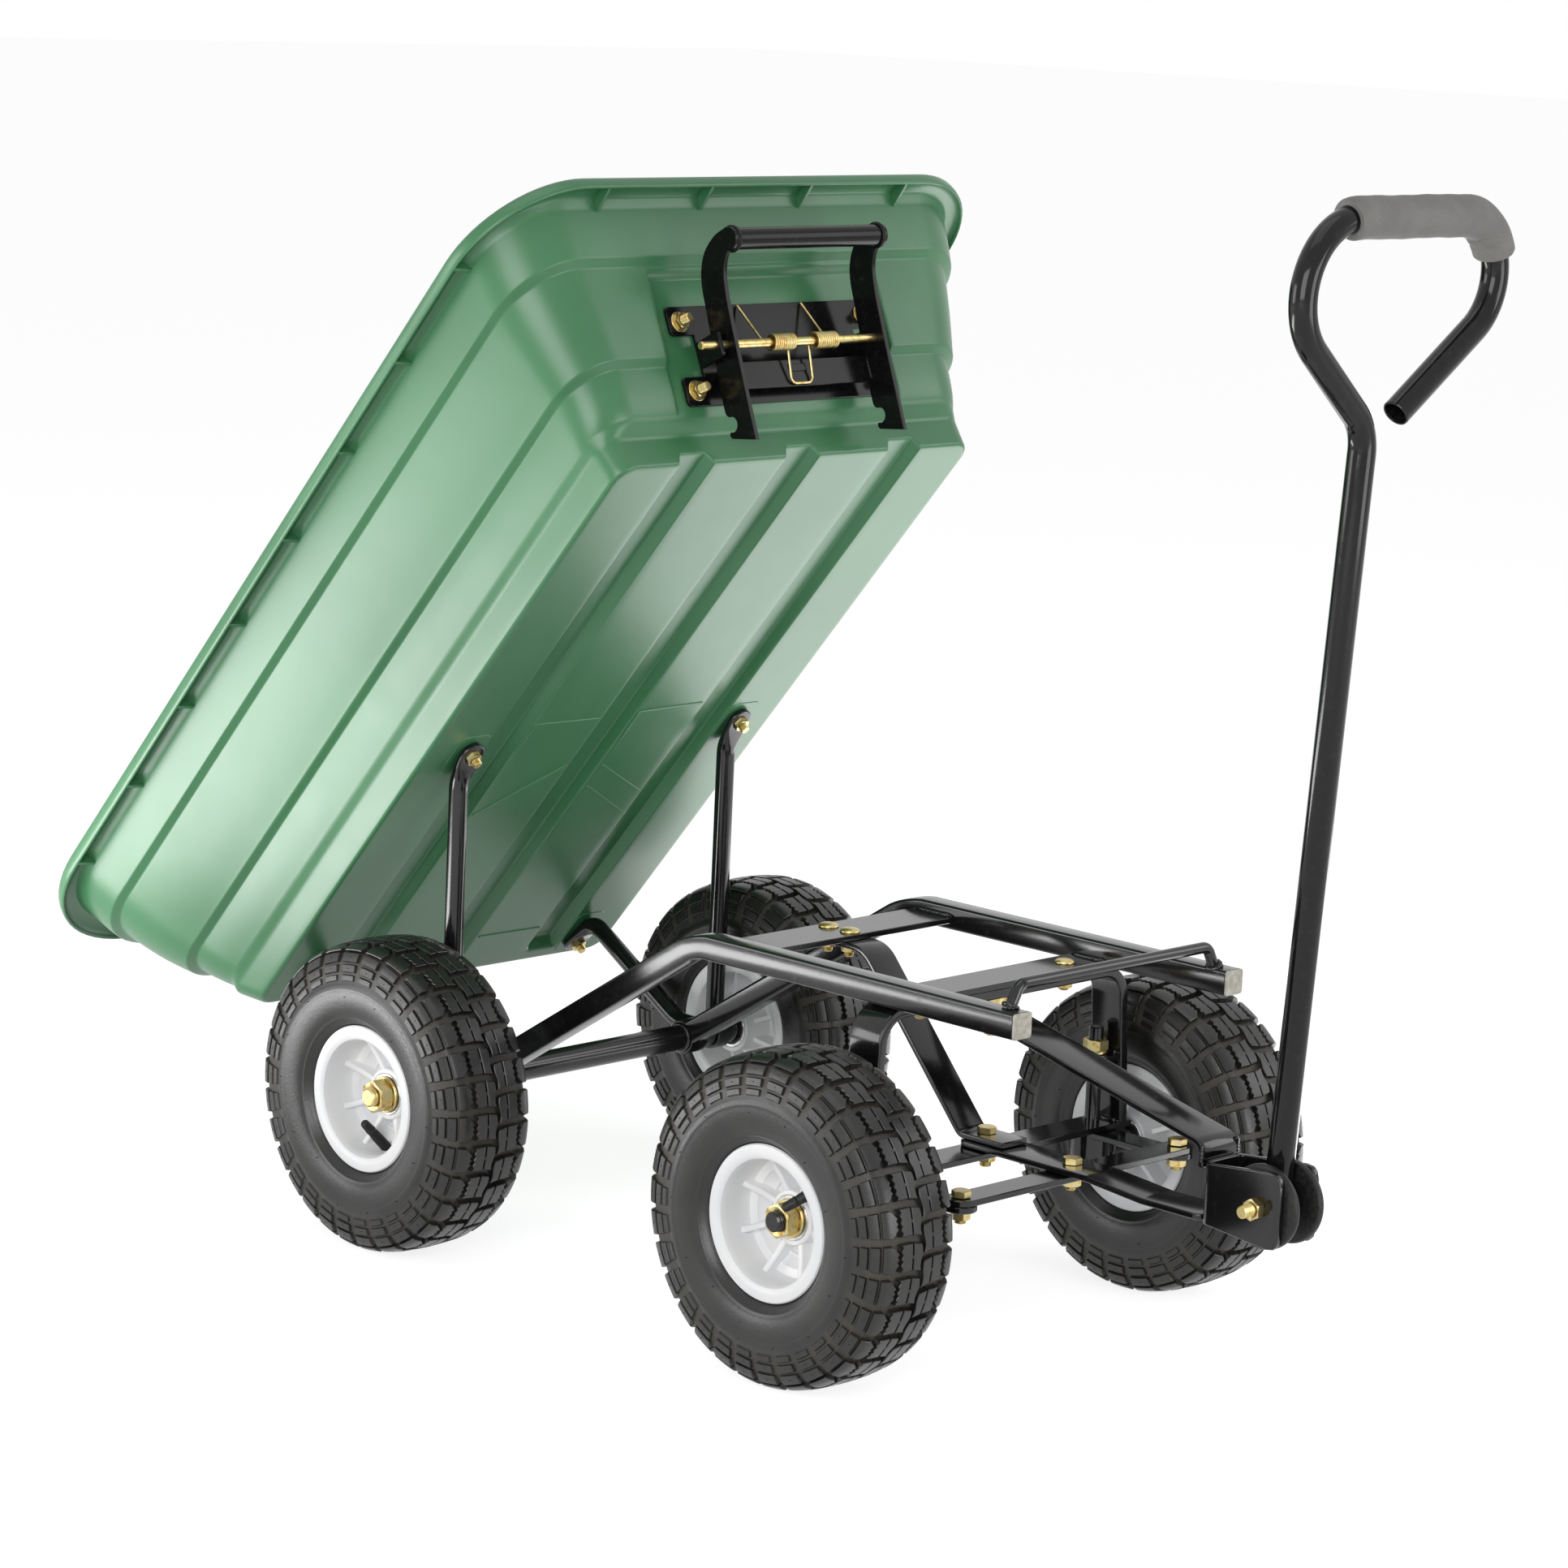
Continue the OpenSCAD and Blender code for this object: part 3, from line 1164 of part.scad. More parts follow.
// The spring is one wire: a leg on the bracket, a coil, a loop on the lever and the same again
curl_n = 8;
side_n = 6;
pitch = wire_d + wire_gap;
leg_steps = 3;
leg_up_share = 0.48;
leg_top = [plate_n + bracket_t + seat_gap + wire_d / 2 - latch_pin_out, bracket_h * leg_up_share];
loop_low_share = 0.51;
loop_end = [latch_drop * web_shares[0] + bracket_t + wire_d / 2 + turn_gap, -latch_drop * loop_low_share];
loop_steps = 3;
half_turn = curl_n / 2;
coil_steps = coil_turns * curl_n;
coil_end = coil_y + pitch * coil_turns;
loop_bend = 2 * wire_d;
bend_share = 0.3;
// Angles at which the wire meets the coil from the leg's end and leaves it for the loop's end
leg_angle = atan2(leg_top.y, leg_top.x) + acos(coil_r / norm(leg_top));
loop_angle = 360 + atan2(loop_end.y, loop_end.x) - acos(coil_r / norm(loop_end));
// One half of the wire from the leg's end to the middle of the loop: place and outward direction
function spoke(a) = [cos(a), 0, sin(a)];
function wire_point(p, y, a) = [[p.x, y, p.y], spoke(a)];
function leg_point(share) =
    wire_point(leg_top + (coil_r * along(leg_angle) - leg_top) * share, coil_end, leg_angle);
function coil_point(i) =
    let (a = leg_angle + (360 * coil_turns + loop_angle - leg_angle) * i / coil_steps)
    wire_point(coil_r * along(a), coil_end + (coil_y - coil_end) * i / coil_steps, a);
function loop_point(short, in) =
    let (start = coil_r * along(loop_angle), way = (loop_end - start) / norm(loop_end - start))
    wire_point(loop_end - short * way, coil_y - in, loop_angle);
loop_l = norm(loop_end - coil_r * along(loop_angle));
half_wire = concat(
    [for (i = [0 : leg_steps - 1]) leg_point(i / leg_steps)],
    [for (i = [0 : coil_steps]) coil_point(i)],
    [for (i = [loop_steps - 1 : -1 : 1]) loop_point(loop_l * i / loop_steps, 0)],
    [loop_point(loop_bend, 0), loop_point(bend_share * loop_bend, bend_share * loop_bend),
        loop_point(0, loop_bend)]);
function mirrored(w) =
    [for (i = [len(w) - 1 : -1 : 0]) [[w[i][0].x, -w[i][0].y, w[i][0].z], w[i][1]]];
wire = concat(half_wire, mirrored(half_wire));
wire_n = len(wire);
function unit(v) = v / norm(v);
function wire_ring(i) =
    let (t = unit(wire[min(i + 1, wire_n - 1)][0] - wire[max(i - 1, 0)][0]),
        b = unit(cross(t, wire[i][1])), n = cross(b, t))
    [for (k = [0 : side_n - 1])
        wire[i][0] + wire_d / 2 * (cos(360 * k / side_n) * n + sin(360 * k / side_n) * b)];
wire_points = [for (i = [0 : wire_n - 1]) for (p = wire_ring(i)) p];
wire_faces = concat(
    [[for (k = [0 : side_n - 1]) k]],
    [for (i = [0 : wire_n - 2]) for (k = [0 : side_n - 1])
        [i * side_n + k, (i + 1) * side_n + k, (i + 1) * side_n + (k + 1) % side_n]],
    [for (i = [0 : wire_n - 2]) for (k = [0 : side_n - 1])
        [i * side_n + k, (i + 1) * side_n + (k + 1) % side_n, i * side_n + (k + 1) % side_n]],
    [[for (k = [side_n - 1 : -1 : 0]) (wire_n - 1) * side_n + k]]);
apart = min([for (i = [0 : wire_n - 1]) for (j = [i + half_turn : 1 : wire_n - 1])
    norm(wire[i][0] - wire[j][0])]);
echo(spring_gap = apart - wire_d);
module latch_spring() {
    color(zinc) at_pin() polyhedron(points = wire_points, faces = wire_faces);
}

bed_tub();
support_left();
support_right();
support_bolts();
latch_bracket();
latch_bracket_bolts();
latch_pin();
latch_spring();
latch_lever();
latch_grip();
rail_left();
rail_right();
rail_plugs();
rear_cross_plate();
front_cross_plate();
rear_axle();
rear_axle_tube();
rear_axle_collars();
rear_axle_nuts();
front_arch();
arch_bolts();
lower_cross_bar();
kingpin_brackets();
stay_strap();
stay_bolts();
latch_rod();
steering_pivots();
drawbar_bar();
drawbar_strap();
clevis();
clevis_bolt();
centre_tie_bolt();
tie_bar();
knuckle_left();
knuckle_right();
knuckle_hardware_left();
knuckle_hardware_right();
handle_tube();
handle_discs();
handle_grip();
tyre_front_left();
tyre_front_right();
tyre_rear_left();
tyre_rear_right();
inner_tube_front_left();
inner_tube_front_right();
inner_tube_rear_left();
inner_tube_rear_right();
rim_front_left();
rim_front_right();
rim_rear_left();
rim_rear_right();
bearings_front_left();
bearings_front_right();
bearings_rear_left();
bearings_rear_right();
valve_front_left();
valve_front_right();
valve_rear_left();
valve_rear_right();
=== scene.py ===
import math
import random

import bmesh
import bpy
import numpy as np
from mathutils import Matrix, Vector


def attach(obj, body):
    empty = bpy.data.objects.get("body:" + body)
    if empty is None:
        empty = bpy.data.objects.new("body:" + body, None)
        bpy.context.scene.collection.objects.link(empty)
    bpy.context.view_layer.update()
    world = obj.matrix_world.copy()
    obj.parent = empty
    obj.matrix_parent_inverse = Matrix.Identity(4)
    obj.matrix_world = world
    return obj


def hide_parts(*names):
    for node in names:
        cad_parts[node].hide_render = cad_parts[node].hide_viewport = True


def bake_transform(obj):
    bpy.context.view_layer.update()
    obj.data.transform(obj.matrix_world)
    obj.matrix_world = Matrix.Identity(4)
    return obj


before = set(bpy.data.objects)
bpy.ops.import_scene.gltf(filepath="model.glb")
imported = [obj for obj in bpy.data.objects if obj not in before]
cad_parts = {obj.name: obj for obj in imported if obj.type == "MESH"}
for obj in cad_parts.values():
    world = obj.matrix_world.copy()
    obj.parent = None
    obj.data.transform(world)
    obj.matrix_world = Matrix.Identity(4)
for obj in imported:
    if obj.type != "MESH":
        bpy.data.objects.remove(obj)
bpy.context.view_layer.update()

dice = random.Random(7)

# Sizes in millimetres, most of them as in the part's source
MM = 0.001
AXLE_Z, WHEELBASE, TYRE_R = 130, 466, 130
REAR_HALF, FRONT_HALF = 213.5, 208
RIM_W, SEAT_R = 73, 52
HUB_IN, HUB_OUT, BEARING_W, AXLE_R = 40, 9, 11, 8
# Seats of the hub nuts from the cart's middle, and length of the axles past them
REAR_SEAT, FRONT_SEAT, AXLE_END = REAR_HALF + HUB_OUT + 0.3, FRONT_HALF + HUB_OUT + 0.3, 20
RAIL_W, RAIL_Y, RAIL_TOP, RAIL_FRONT, RAIL_BEND = 20, 123, 303, 605, 262
RAIL_MID = RAIL_TOP - RAIL_W / 2
BAR_T, BAR_W, ARCH_W, ARCH_T = 5, 30, 32, 9
RAIL_INSIDE = RAIL_Y - RAIL_W / 2 - 0.1
FRONT_BAR = WHEELBASE - ARCH_W / 2, WHEELBASE + ARCH_W / 2
CROSS_LOW, DRAWBAR_TOP = 146, 156.3
FOOT_TOP, ARM_LOW = 161.6, 140.7
BRACKET_LOW, KINGPIN_Y = 203, 126
PIVOT_X, PIVOT_Z, CLEVIS_X = 757, 170, 702
TIE_X, REAR_PLATE_X, PLATE_TOP, FRONT_PLATE_TOP, ROD_X = 556, 296, 295, 288, 589.2
HANDLE_D, HANDLE_LEAN, FOAM_D = 21, 3.7, 31
TIP, FLOOR_Z, FLOOR_FRONT, FLOOR_REAR, FLOOR_HALF = 49.5, 303.5, 565, 105, 200
WALL_X, WALL_LOW, TUB_H, TUB_T, SUPPORT_Y = 581, 34, 192, 4, 154
FRONT_DRAFT, PIN_N, PIN_U, LEVER_Y = 26, 31, 49, 86


def at(x=0, y=0, z=0):
    place = np.eye(4)
    place[:3, 3] = x, y, z
    return place


def turn(axis, degrees):
    return np.array(Matrix.Rotation(math.radians(degrees), 4, axis))


def along(angle):
    return np.array([math.cos(angle), math.sin(angle)])


def circle(n):
    """The angles of n even steps round a circle."""
    return np.arange(n) * 2 * math.pi / n


def past(u, soft):
    """0 below 0 and u above it, with a rounded bend between."""
    u = np.asarray(u, float)
    return np.where(u < -soft, 0, np.where(u > soft, u, (u + soft) ** 2 / (4 * soft)))


def smooth_rise(x, a, b, soft):
    """Goes from 0 at a to 1 at b in a straight slope whose two bends are rounded."""
    return (past(x - a, soft) - past(x - b, soft)) / (b - a)


SIDE = turn("X", 90)
FRONT = turn("Z", 90) @ turn("X", 90)
BED = at(0, 0, AXLE_Z) @ turn("Y", -TIP) @ at(0, 0, -AXLE_Z)
WALL = BED @ at(WALL_X, 0, FLOOR_Z + WALL_LOW) @ turn("Y", FRONT_DRAFT)
PIN = WALL @ at(PIN_N, 0, PIN_U)
HANDLE = at(PIVOT_X, 0, PIVOT_Z) @ turn("Y", HANDLE_LEAN) @ FRONT


class Shape:
    """Points and faces of one piece in millimetres, gathered before they become a mesh."""

    def __init__(self):
        self.points, self.faces, self.finishes, self.shades = [], [], [], []

    def add(self, points, faces, place=None, finish=0, shade=0.0):
        points = np.asarray(points, float).reshape(-1, 3)
        if place is not None:
            points = points @ place[:3, :3].T + place[:3, 3]
        first = len(self.points)
        self.points.extend(points.tolist())
        self.shades.extend(np.broadcast_to(shade, len(points)).tolist())
        self.faces.extend([tuple(first + i for i in face) for face in faces])
        self.finishes.extend([finish] * len(faces))

    def grid(self, rows, place=None, finish=0, ring=True, loop=False, caps=False, shade=0.0):
        """A net of four-sided faces; ring closes each row, loop joins the last row to the first."""
        rows = np.asarray(rows, float)
        n, m = rows.shape[:2]
        faces = [(i * m + j, i * m + (j + 1) % m, (i + 1) % n * m + (j + 1) % m, (i + 1) % n * m + j)
                 for i in range(n if loop else n - 1) for j in range(m if ring else m - 1)]
        if caps:
            faces += [tuple(range(m)), tuple((n - 1) * m + j for j in range(m))]
        self.add(rows, faces, place, finish, shade)

    def turned(self, outline, place=None, n=40, finish=0, closed=False):
        """An outline of radius and height turned about the local Z axis."""
        rows = [[(r * math.cos(t), r * math.sin(t), z) for t in circle(n)] for r, z in outline]
        self.grid(rows, place, finish, loop=closed)

    def piece(self, name, finishes, body, replaces=(), slot=None, sharp=38, place=None):
        mesh = bpy.data.meshes.new(name)
        mesh.from_pydata((np.array(self.points) * MM).tolist(), [], self.faces)
        mesh.polygons.foreach_set("material_index", self.finishes)
        tone = mesh.attributes.new("tone", "FLOAT", "POINT")
        tone.data.foreach_set("value", np.array(self.shades, np.float32))
        net = bmesh.new()
        net.from_mesh(mesh)
        near = 0.002 * MM
        bmesh.ops.remove_doubles(net, verts=net.verts, dist=near)
        bmesh.ops.dissolve_degenerate(net, edges=net.edges, dist=near)
        bmesh.ops.recalc_face_normals(net, faces=net.faces)
        net.to_mesh(mesh)
        net.free()
        for finish in finishes if isinstance(finishes, (list, tuple)) else [finishes]:
            mesh.materials.append(finish)
        mesh.shade_smooth()
        mesh.set_sharp_from_angle(angle=math.radians(sharp))
        return show(mesh, name, body, replaces, slot, place)


def show(mesh, name, body, replaces=(), slot=None, place=None):
    piece = bpy.data.objects.new(name, mesh)
    bpy.context.scene.collection.objects.link(piece)
    if place is not None:
        placed = np.array(place)
        placed[:3, 3] *= MM
        piece.matrix_world = Matrix(placed)
    if body:
        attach(piece, body)
    if replaces:
        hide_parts(*replaces)
    return piece


# Degrees between the points of a bend
BEND_STEP = 6


def heading(a, b):
    return math.atan2(b[1] - a[1], b[0] - a[0])


def rounded(corners, radii):
    """Points and headings along a flat path with rounded corners."""
    p = [np.array(c, float) for c in corners]
    out = [(p[0], heading(p[0], p[1]))]
    for i in range(1, len(p) - 1):
        h = heading(p[i - 1], p[i])
        t = (heading(p[i], p[i + 1]) - h + math.pi) % (2 * math.pi) - math.pi
        s = math.copysign(1, t)
        start = p[i] - radii[i] * math.tan(abs(t) / 2) * along(h)
        centre = start + s * radii[i] * along(h + math.pi / 2)
        n = max(2, math.ceil(math.degrees(abs(t)) / BEND_STEP))
        for k in range(n + 1):
            a = h + t * k / n
            out.append((centre - s * radii[i] * along(a + math.pi / 2), a))
    out.append((p[-1], heading(p[-2], p[-1])))
    return out


def box_section(w, h, r, n=4):
    """Outline of a rounded rectangle."""
    r = min(r, w / 2, h / 2)
    out = []
    for k, (sx, sy) in enumerate([(1, 1), (-1, 1), (-1, -1), (1, -1)]):
        for i in range(n + 1):
            a = (k + i / n) * math.pi / 2
            out.append((sx * (w / 2 - r) + r * math.cos(a), sy * (h / 2 - r) + r * math.sin(a)))
    return np.array(out)


def flat(t, w, r=1.2):
    return lambda inset: box_section(t - 2 * inset, w - 2 * inset, max(r - inset, 0.3))


def round_bar(d):
    a = circle(28)
    return lambda inset: (d / 2 - inset) * np.stack([np.cos(a), np.sin(a)], 1)


def section_row(point, angle, section):
    side = along(angle + math.pi / 2)
    return np.stack([point[0] + section[:, 0] * side[0], point[1] + section[:, 0] * side[1],
                     section[:, 1]], 1)


def bar(shape, place, corners, radii, section, end=1.0, sections=None):
    """A bar along a flat path; its ends are chamfered. sections can change the section on the way."""
    path = rounded(corners, radii)
    last = len(path) - 1
    rows = []
    for i, (point, angle) in enumerate(path):
        form = sections(i) if sections else section
        if i == 0:
            rows.append(section_row(point, angle, form(end)))
            rows.append(section_row(point + end * along(angle), angle, form(0)))
        elif i == last:
            rows.append(section_row(point - end * along(angle), angle, form(0)))
            rows.append(section_row(point, angle, form(end)))
        else:
            rows.append(section_row(point, angle, form(0)))
    shape.grid(rows, place, caps=True)


def plate(shape, outline, t, place, bevel=0.6):
    """A flat plate of an outline, from 0 to t along the local Z axis, with bevelled edges."""
    p = np.array(outline, float)
    area = np.sum(p[:, 0] * np.roll(p[:, 1], -1) - np.roll(p[:, 0], -1) * p[:, 1])
    if area < 0:
        p = p[::-1]
    before, after = p - np.roll(p, 1, 0), np.roll(p, -1, 0) - p
    normal = np.stack([-before[:, 1], before[:, 0]], 1)
    normal /= np.linalg.norm(normal, axis=1)[:, None]
    other = np.stack([-after[:, 1], after[:, 0]], 1)
    other /= np.linalg.norm(other, axis=1)[:, None]
    inward = (normal + other) / (1 + np.sum(normal * other, 1))[:, None].clip(0.4)
    small = p + bevel * inward
    rows = [np.c_[small, np.zeros(len(p))], np.c_[p, np.full(len(p), bevel)],
            np.c_[p, np.full(len(p), t - bevel)], np.c_[small, np.full(len(p), t)]]
    shape.grid(rows, place, caps=True)


def round_points(x, y, r, a0, a1, n=10):
    """Points on an arc about x, y from the angle a0 to a1, in degrees."""
    return [tuple((x, y) + r * along(math.radians(a0 + (a1 - a0) * i / n))) for i in range(n + 1)]


def link(a, b, w):
    """Outline of a flat link with round ends."""
    h = math.degrees(heading(a, b))
    return (round_points(a[0], a[1], w / 2, h + 90, h + 270)
            + round_points(b[0], b[1], w / 2, h - 90, h + 90))


def oblong(x0, x1, y0, y1):
    return [(x0, y0), (x1, y0), (x1, y1), (x0, y1)]


def lengths(path):
    """Length along a path at each of its points."""
    return np.r_[0, np.cumsum(np.linalg.norm(np.diff(path, axis=0), axis=1))]


def moved(place, points):
    return np.asarray(points, float) @ place[:3, :3].T + place[:3, 3]


def spaced(points, gap):
    """More points on the straight stretches of a path, none further apart than gap."""
    p = [np.asarray(q, float) for q in points]
    out = [p[0]]
    for a, b in zip(p, p[1:]):
        n = max(1, math.ceil(np.linalg.norm((b - a)[:3]) / gap))
        out += [a + (b - a) * k / n for k in range(1, n + 1)]
    return np.array(out)


def wire(shape, points, r, place=None, loop=False):
    """A round wire through points in space; r is one radius or one for each point."""
    p = np.asarray(points, float)
    way = np.roll(p, -1, 0) - np.roll(p, 1, 0)
    if not loop:
        way[0], way[-1] = p[1] - p[0], p[-1] - p[-2]
    way /= np.linalg.norm(way, axis=1)[:, None]
    odd_way = 0.31, 0.52, 0.79
    side = np.cross(way[0], odd_way)
    a = circle(10)
    rows = []
    for q, w, size in zip(p, way, np.broadcast_to(r, len(p))):
        side = side - w * (side @ w)
        side /= np.linalg.norm(side)
        rows.append(q + size * (np.outer(np.cos(a), side) + np.outer(np.sin(a), np.cross(w, side))))
    shape.grid(rows, place, loop=loop, caps=not loop)


def weld(shape, points, size=2.2, place=None, loop=False):
    """A bead of weld along points, with the ripples of the welder's steps."""
    p = spaced(points, 0.9)
    n = len(p)
    swell = [0.84 + 0.16 * abs(math.sin(i * 1.05)) + dice.uniform(-0.06, 0.06) for i in range(n)]
    ends = [1 if loop else min(1, 0.3 + 5 * min(i, n - 1 - i) / n) for i in range(n)]
    last = n - 1 if loop else n
    wire(shape, p[:last], size * np.array(swell[:last]) * np.array(ends[:last]), place, loop)


def ring_points(r, n=40, z=0):
    return [(*(r * along(2 * math.pi * i / n)), z) for i in range(n + 1)]


def spline(p, n):
    """Points of a smooth curve through all of p but its two ends, which only steer it."""
    out = []
    for i in range(1, len(p) - 2):
        a, b, c, d = p[i - 1:i + 3]
        out += [0.5 * (2 * b + (c - a) * t + (2 * a - 5 * b + 4 * c - d) * t ** 2
                       + (3 * b - a - 3 * c + d) * t ** 3) for t in np.arange(n) / n]
    return np.array(out + [p[-2]])


def curve_through(points):
    return [tuple(q) for q in spline(np.array([points[0], *points, points[-1]], float), 5)]


# Fasteners; the local Z axis points out of the seat
def hexagon(half, outline):
    """Rows of a six-sided form; outline gives radii and heights from a corner's radius and its drop."""
    columns = []
    for a in circle(36):
        r = half / math.cos((a + math.pi / 6) % (math.pi / 3) - math.pi / 6)
        columns.append([(*(q * along(a)), z) for q, z in outline(r, (r - half * 0.97) * 0.55)])
    return np.transpose(columns, (1, 0, 2))


def nut(shape, place, d, h):
    half = d * 0.75
    rows = hexagon(half, lambda r, drop: [(d / 2 - 0.2, 0.2), (half * 0.97, 0), (r, drop), (r, h - drop),
                                          (half * 0.95, h), (d / 2 - 0.2, h - d * 0.06)])
    shape.grid(rows, place, loop=True)


def thread(shape, place, d, z0, z1, finish=0):
    """The end of a bolt with its thread."""
    pitch = max(1.0, d * 0.14)
    outline = [(d / 2 - 0.6 * pitch, z0)]
    z = z0
    while z < z1 - pitch:
        outline += [(d / 2 - 0.05, z + 0.35 * pitch), (d / 2 - 0.05, z + 0.5 * pitch),
                    (d / 2 - 0.6 * pitch, z + 0.9 * pitch)]
        z += pitch
    outline += [(d / 2 - 0.15, z1 - 0.5 * pitch), (d / 2 - 0.7 * pitch, z1), (0, z1)]
    shape.turned(outline, place, 24, finish)


def shank(shape, place, d, z0, z1):
    shape.turned([(0, z0), (d / 2, z0), (d / 2, z1), (0, z1)], place, 24)


def dome_head(shape, place, d):
    r, h = d * 1.05, d * 0.45
    out = [(0, 0), (r * 0.96, 0), (r, h * 0.12)]
    out += [(r * math.cos(t) ** 0.9, h * (0.14 + 0.86 * math.sin(t)))
            for t in np.linspace(0.12, math.pi / 2, 8)[:-1]]
    shape.turned(out + [(0, h)], place, 32)


def hex_head(shape, place, d):
    """A bolt's head with its washer face and chamfered top."""
    h, half = d * 0.6, d * 0.75
    rows = hexagon(half, lambda r, drop: [(half * 0.94, 0), (r, h * 0.1), (r, h - drop), (half * 0.93, h),
                                          (half * 0.5, h * 0.97)])
    shape.grid(rows, place, caps=True)


def washer(shape, place, d, bore, t):
    b = min(0.2 * t, 0.7)
    shape.turned([(bore, 0), (d / 2 - b, 0), (d / 2, b), (d / 2, t - b), (d / 2 - b, t), (bore, t)],
                 place, 36, closed=True)


def through_bolt(shape, place, d, grip, head, extra=0.0):
    """A bolt down from its seat with its nut on the far side, and the thread past the nut."""
    head(shape, place, d)
    shank(shape, place, d, -grip, 0.1)
    flip = place @ at(0, 0, -grip) @ turn("X", 180)
    nut(shape, flip, d, d * 0.75)
    thread(shape, flip, d, d * 0.7, d + extra)


# Finishes
class Value:
    """A socket of a finish's node tree that takes part in sums as a number does."""

    def __init__(self, finish, socket):
        self.finish, self.socket = finish, socket

    def sum(self, operation, *terms):
        return self.finish.node("ShaderNodeMath", {"operation": operation}, dict(enumerate(terms)))

    def __add__(self, other):
        return self.sum("ADD", self, other)

    def __mul__(self, other):
        return self.sum("MULTIPLY", self, other)

    def __rsub__(self, other):
        return self.sum("SUBTRACT", other, self)

    __radd__, __rmul__ = __add__, __mul__

    def rise(self, low, high):
        """0 below low and 1 above high, with a smooth way between."""
        return self.finish.node("ShaderNodeMapRange", {"interpolation_type": "SMOOTHSTEP"},
                                {"Value": self, "From Min": low, "From Max": high})


class Finish:
    """A material with one shader, whose nodes come from the method node."""

    def __init__(self, name, **fixed):
        self.material = bpy.data.materials.new(name)
        self.material.use_nodes = True
        self.tree = self.material.node_tree
        self.tree.nodes.clear()
        self.shader = self.tree.nodes.new("ShaderNodeBsdfPrincipled")
        out = self.tree.nodes.new("ShaderNodeOutputMaterial")
        self.tree.links.new(self.shader.outputs[0], out.inputs["Surface"])
        for key, value in fixed.items():
            self.feed(self.shader.inputs[key.replace("_", " ").title().replace("Ior", "IOR")], value)
        self.place = self.node("ShaderNodeTexCoord", out="Object")

    def feed(self, socket, value):
        """Links a socket to a Value, or sets it."""
        if isinstance(value, Value):
            self.tree.links.new(value.socket, socket)
        else:
            whole = isinstance(value, tuple) and len(value) == 3 and socket.type == "RGBA"
            socket.default_value = (*value, 1) if whole else value

    def node(self, kind, settings=None, sockets=None, out=0):
        made = self.tree.nodes.new(kind)
        for key, value in (settings or {}).items():
            if key == "stops":
                stops = made.color_ramp.elements
                while len(stops) < len(value):
                    stops.new(0.5)
                for stop, (spot, color) in zip(stops, value):
                    stop.position = spot
                    stop.color = (*color, 1)
            else:
                setattr(made, key, value)
        for key, value in (sockets or {}).items():
            self.feed(made.inputs[key], value)
        return Value(self, made.outputs[out])

    def noise(self, scale, detail=3.0, rough=0.5, place=None):
        return self.node("ShaderNodeTexNoise", None, {
            "Vector": place or self.place, "Scale": scale, "Detail": detail, "Roughness": rough})

    def cells(self, scale):
        return self.node("ShaderNodeTexVoronoi", None, {"Vector": self.place, "Scale": scale})

    def done(self, color, roughness, normal):
        for key, value in (("Base Color", color), ("Roughness", roughness), ("Normal", normal)):
            self.feed(self.shader.inputs[key], value)
        return self.material

    def tone(self):
        return self.node("ShaderNodeAttribute", {"attribute_name": "tone"}, out="Fac")

    def stretched(self, scale):
        return self.node("ShaderNodeMapping", None, {"Vector": self.place, "Scale": scale})

    def mix(self, a, b, share):
        return self.node("ShaderNodeMix", {"data_type": "RGBA"}, {"Factor": share, 6: a, 7: b}, out=2)

    def ramp(self, value, *stops):
        return self.node("ShaderNodeValToRGB", {"stops": stops}, {"Fac": value})

    def bump(self, height, distance, strength=1.0, under=None):
        sockets = {"Height": height, "Distance": distance, "Strength": strength}
        if under is not None:
            sockets["Normal"] = under
        return self.node("ShaderNodeBump", None, sockets)


def tub_green():
    f = Finish("green_moulded_plastic", specular_ior_level=0.55)
    flow = f.noise(5, 3)
    haze = f.noise(38, 4, 0.6)
    scuff = f.noise(1, 4, 0.65, f.stretched((900, 60, 240)))
    base = f.mix((0.038, 0.158, 0.064), (0.05, 0.188, 0.08), flow.rise(0.35, 0.65))
    scuffs = scuff.rise(0.66, 0.8) * haze.rise(0.5, 0.7)
    grain = f.bump(f.noise(1500, 2), 0.00006, 0.35)
    return f.done(f.mix(base, (0.17, 0.33, 0.19), scuffs * 0.35),
                  0.26 + 0.08 * haze + 0.05 * flow,
                  f.bump(f.noise(14, 2), 0.0009, 0.3, grain))


def black_gloss(name, shine, rough):
    f = Finish(name, specular_ior_level=shine)
    cloud = f.noise(16, 3)
    rub = f.noise(130, 5, 0.7)
    return f.done(f.mix((0.005, 0.005, 0.0052), (0.013, 0.0128, 0.0125), rub.rise(0.5, 0.75)),
                  rough + 0.08 * cloud + 0.08 * rub.rise(0.58, 0.72),
                  f.bump(f.noise(240, 2), 0.00008, 0.22))


def wheel_white():
    f = Finish("white_wheel_plastic", specular_ior_level=0.45)
    cloud = f.noise(22, 3)
    speck = f.noise(420, 3, 0.7)
    dirt = speck.rise(0.68, 0.78) * cloud.rise(0.5, 0.7)
    base = f.mix((0.8, 0.81, 0.83), (0.86, 0.86, 0.86), cloud.rise(0.3, 0.7))
    return f.done(f.mix(base, (0.45, 0.43, 0.4), dirt * 0.3),
                  0.27 + 0.14 * cloud,
                  f.bump(f.noise(900, 2), 0.00005, 0.35))


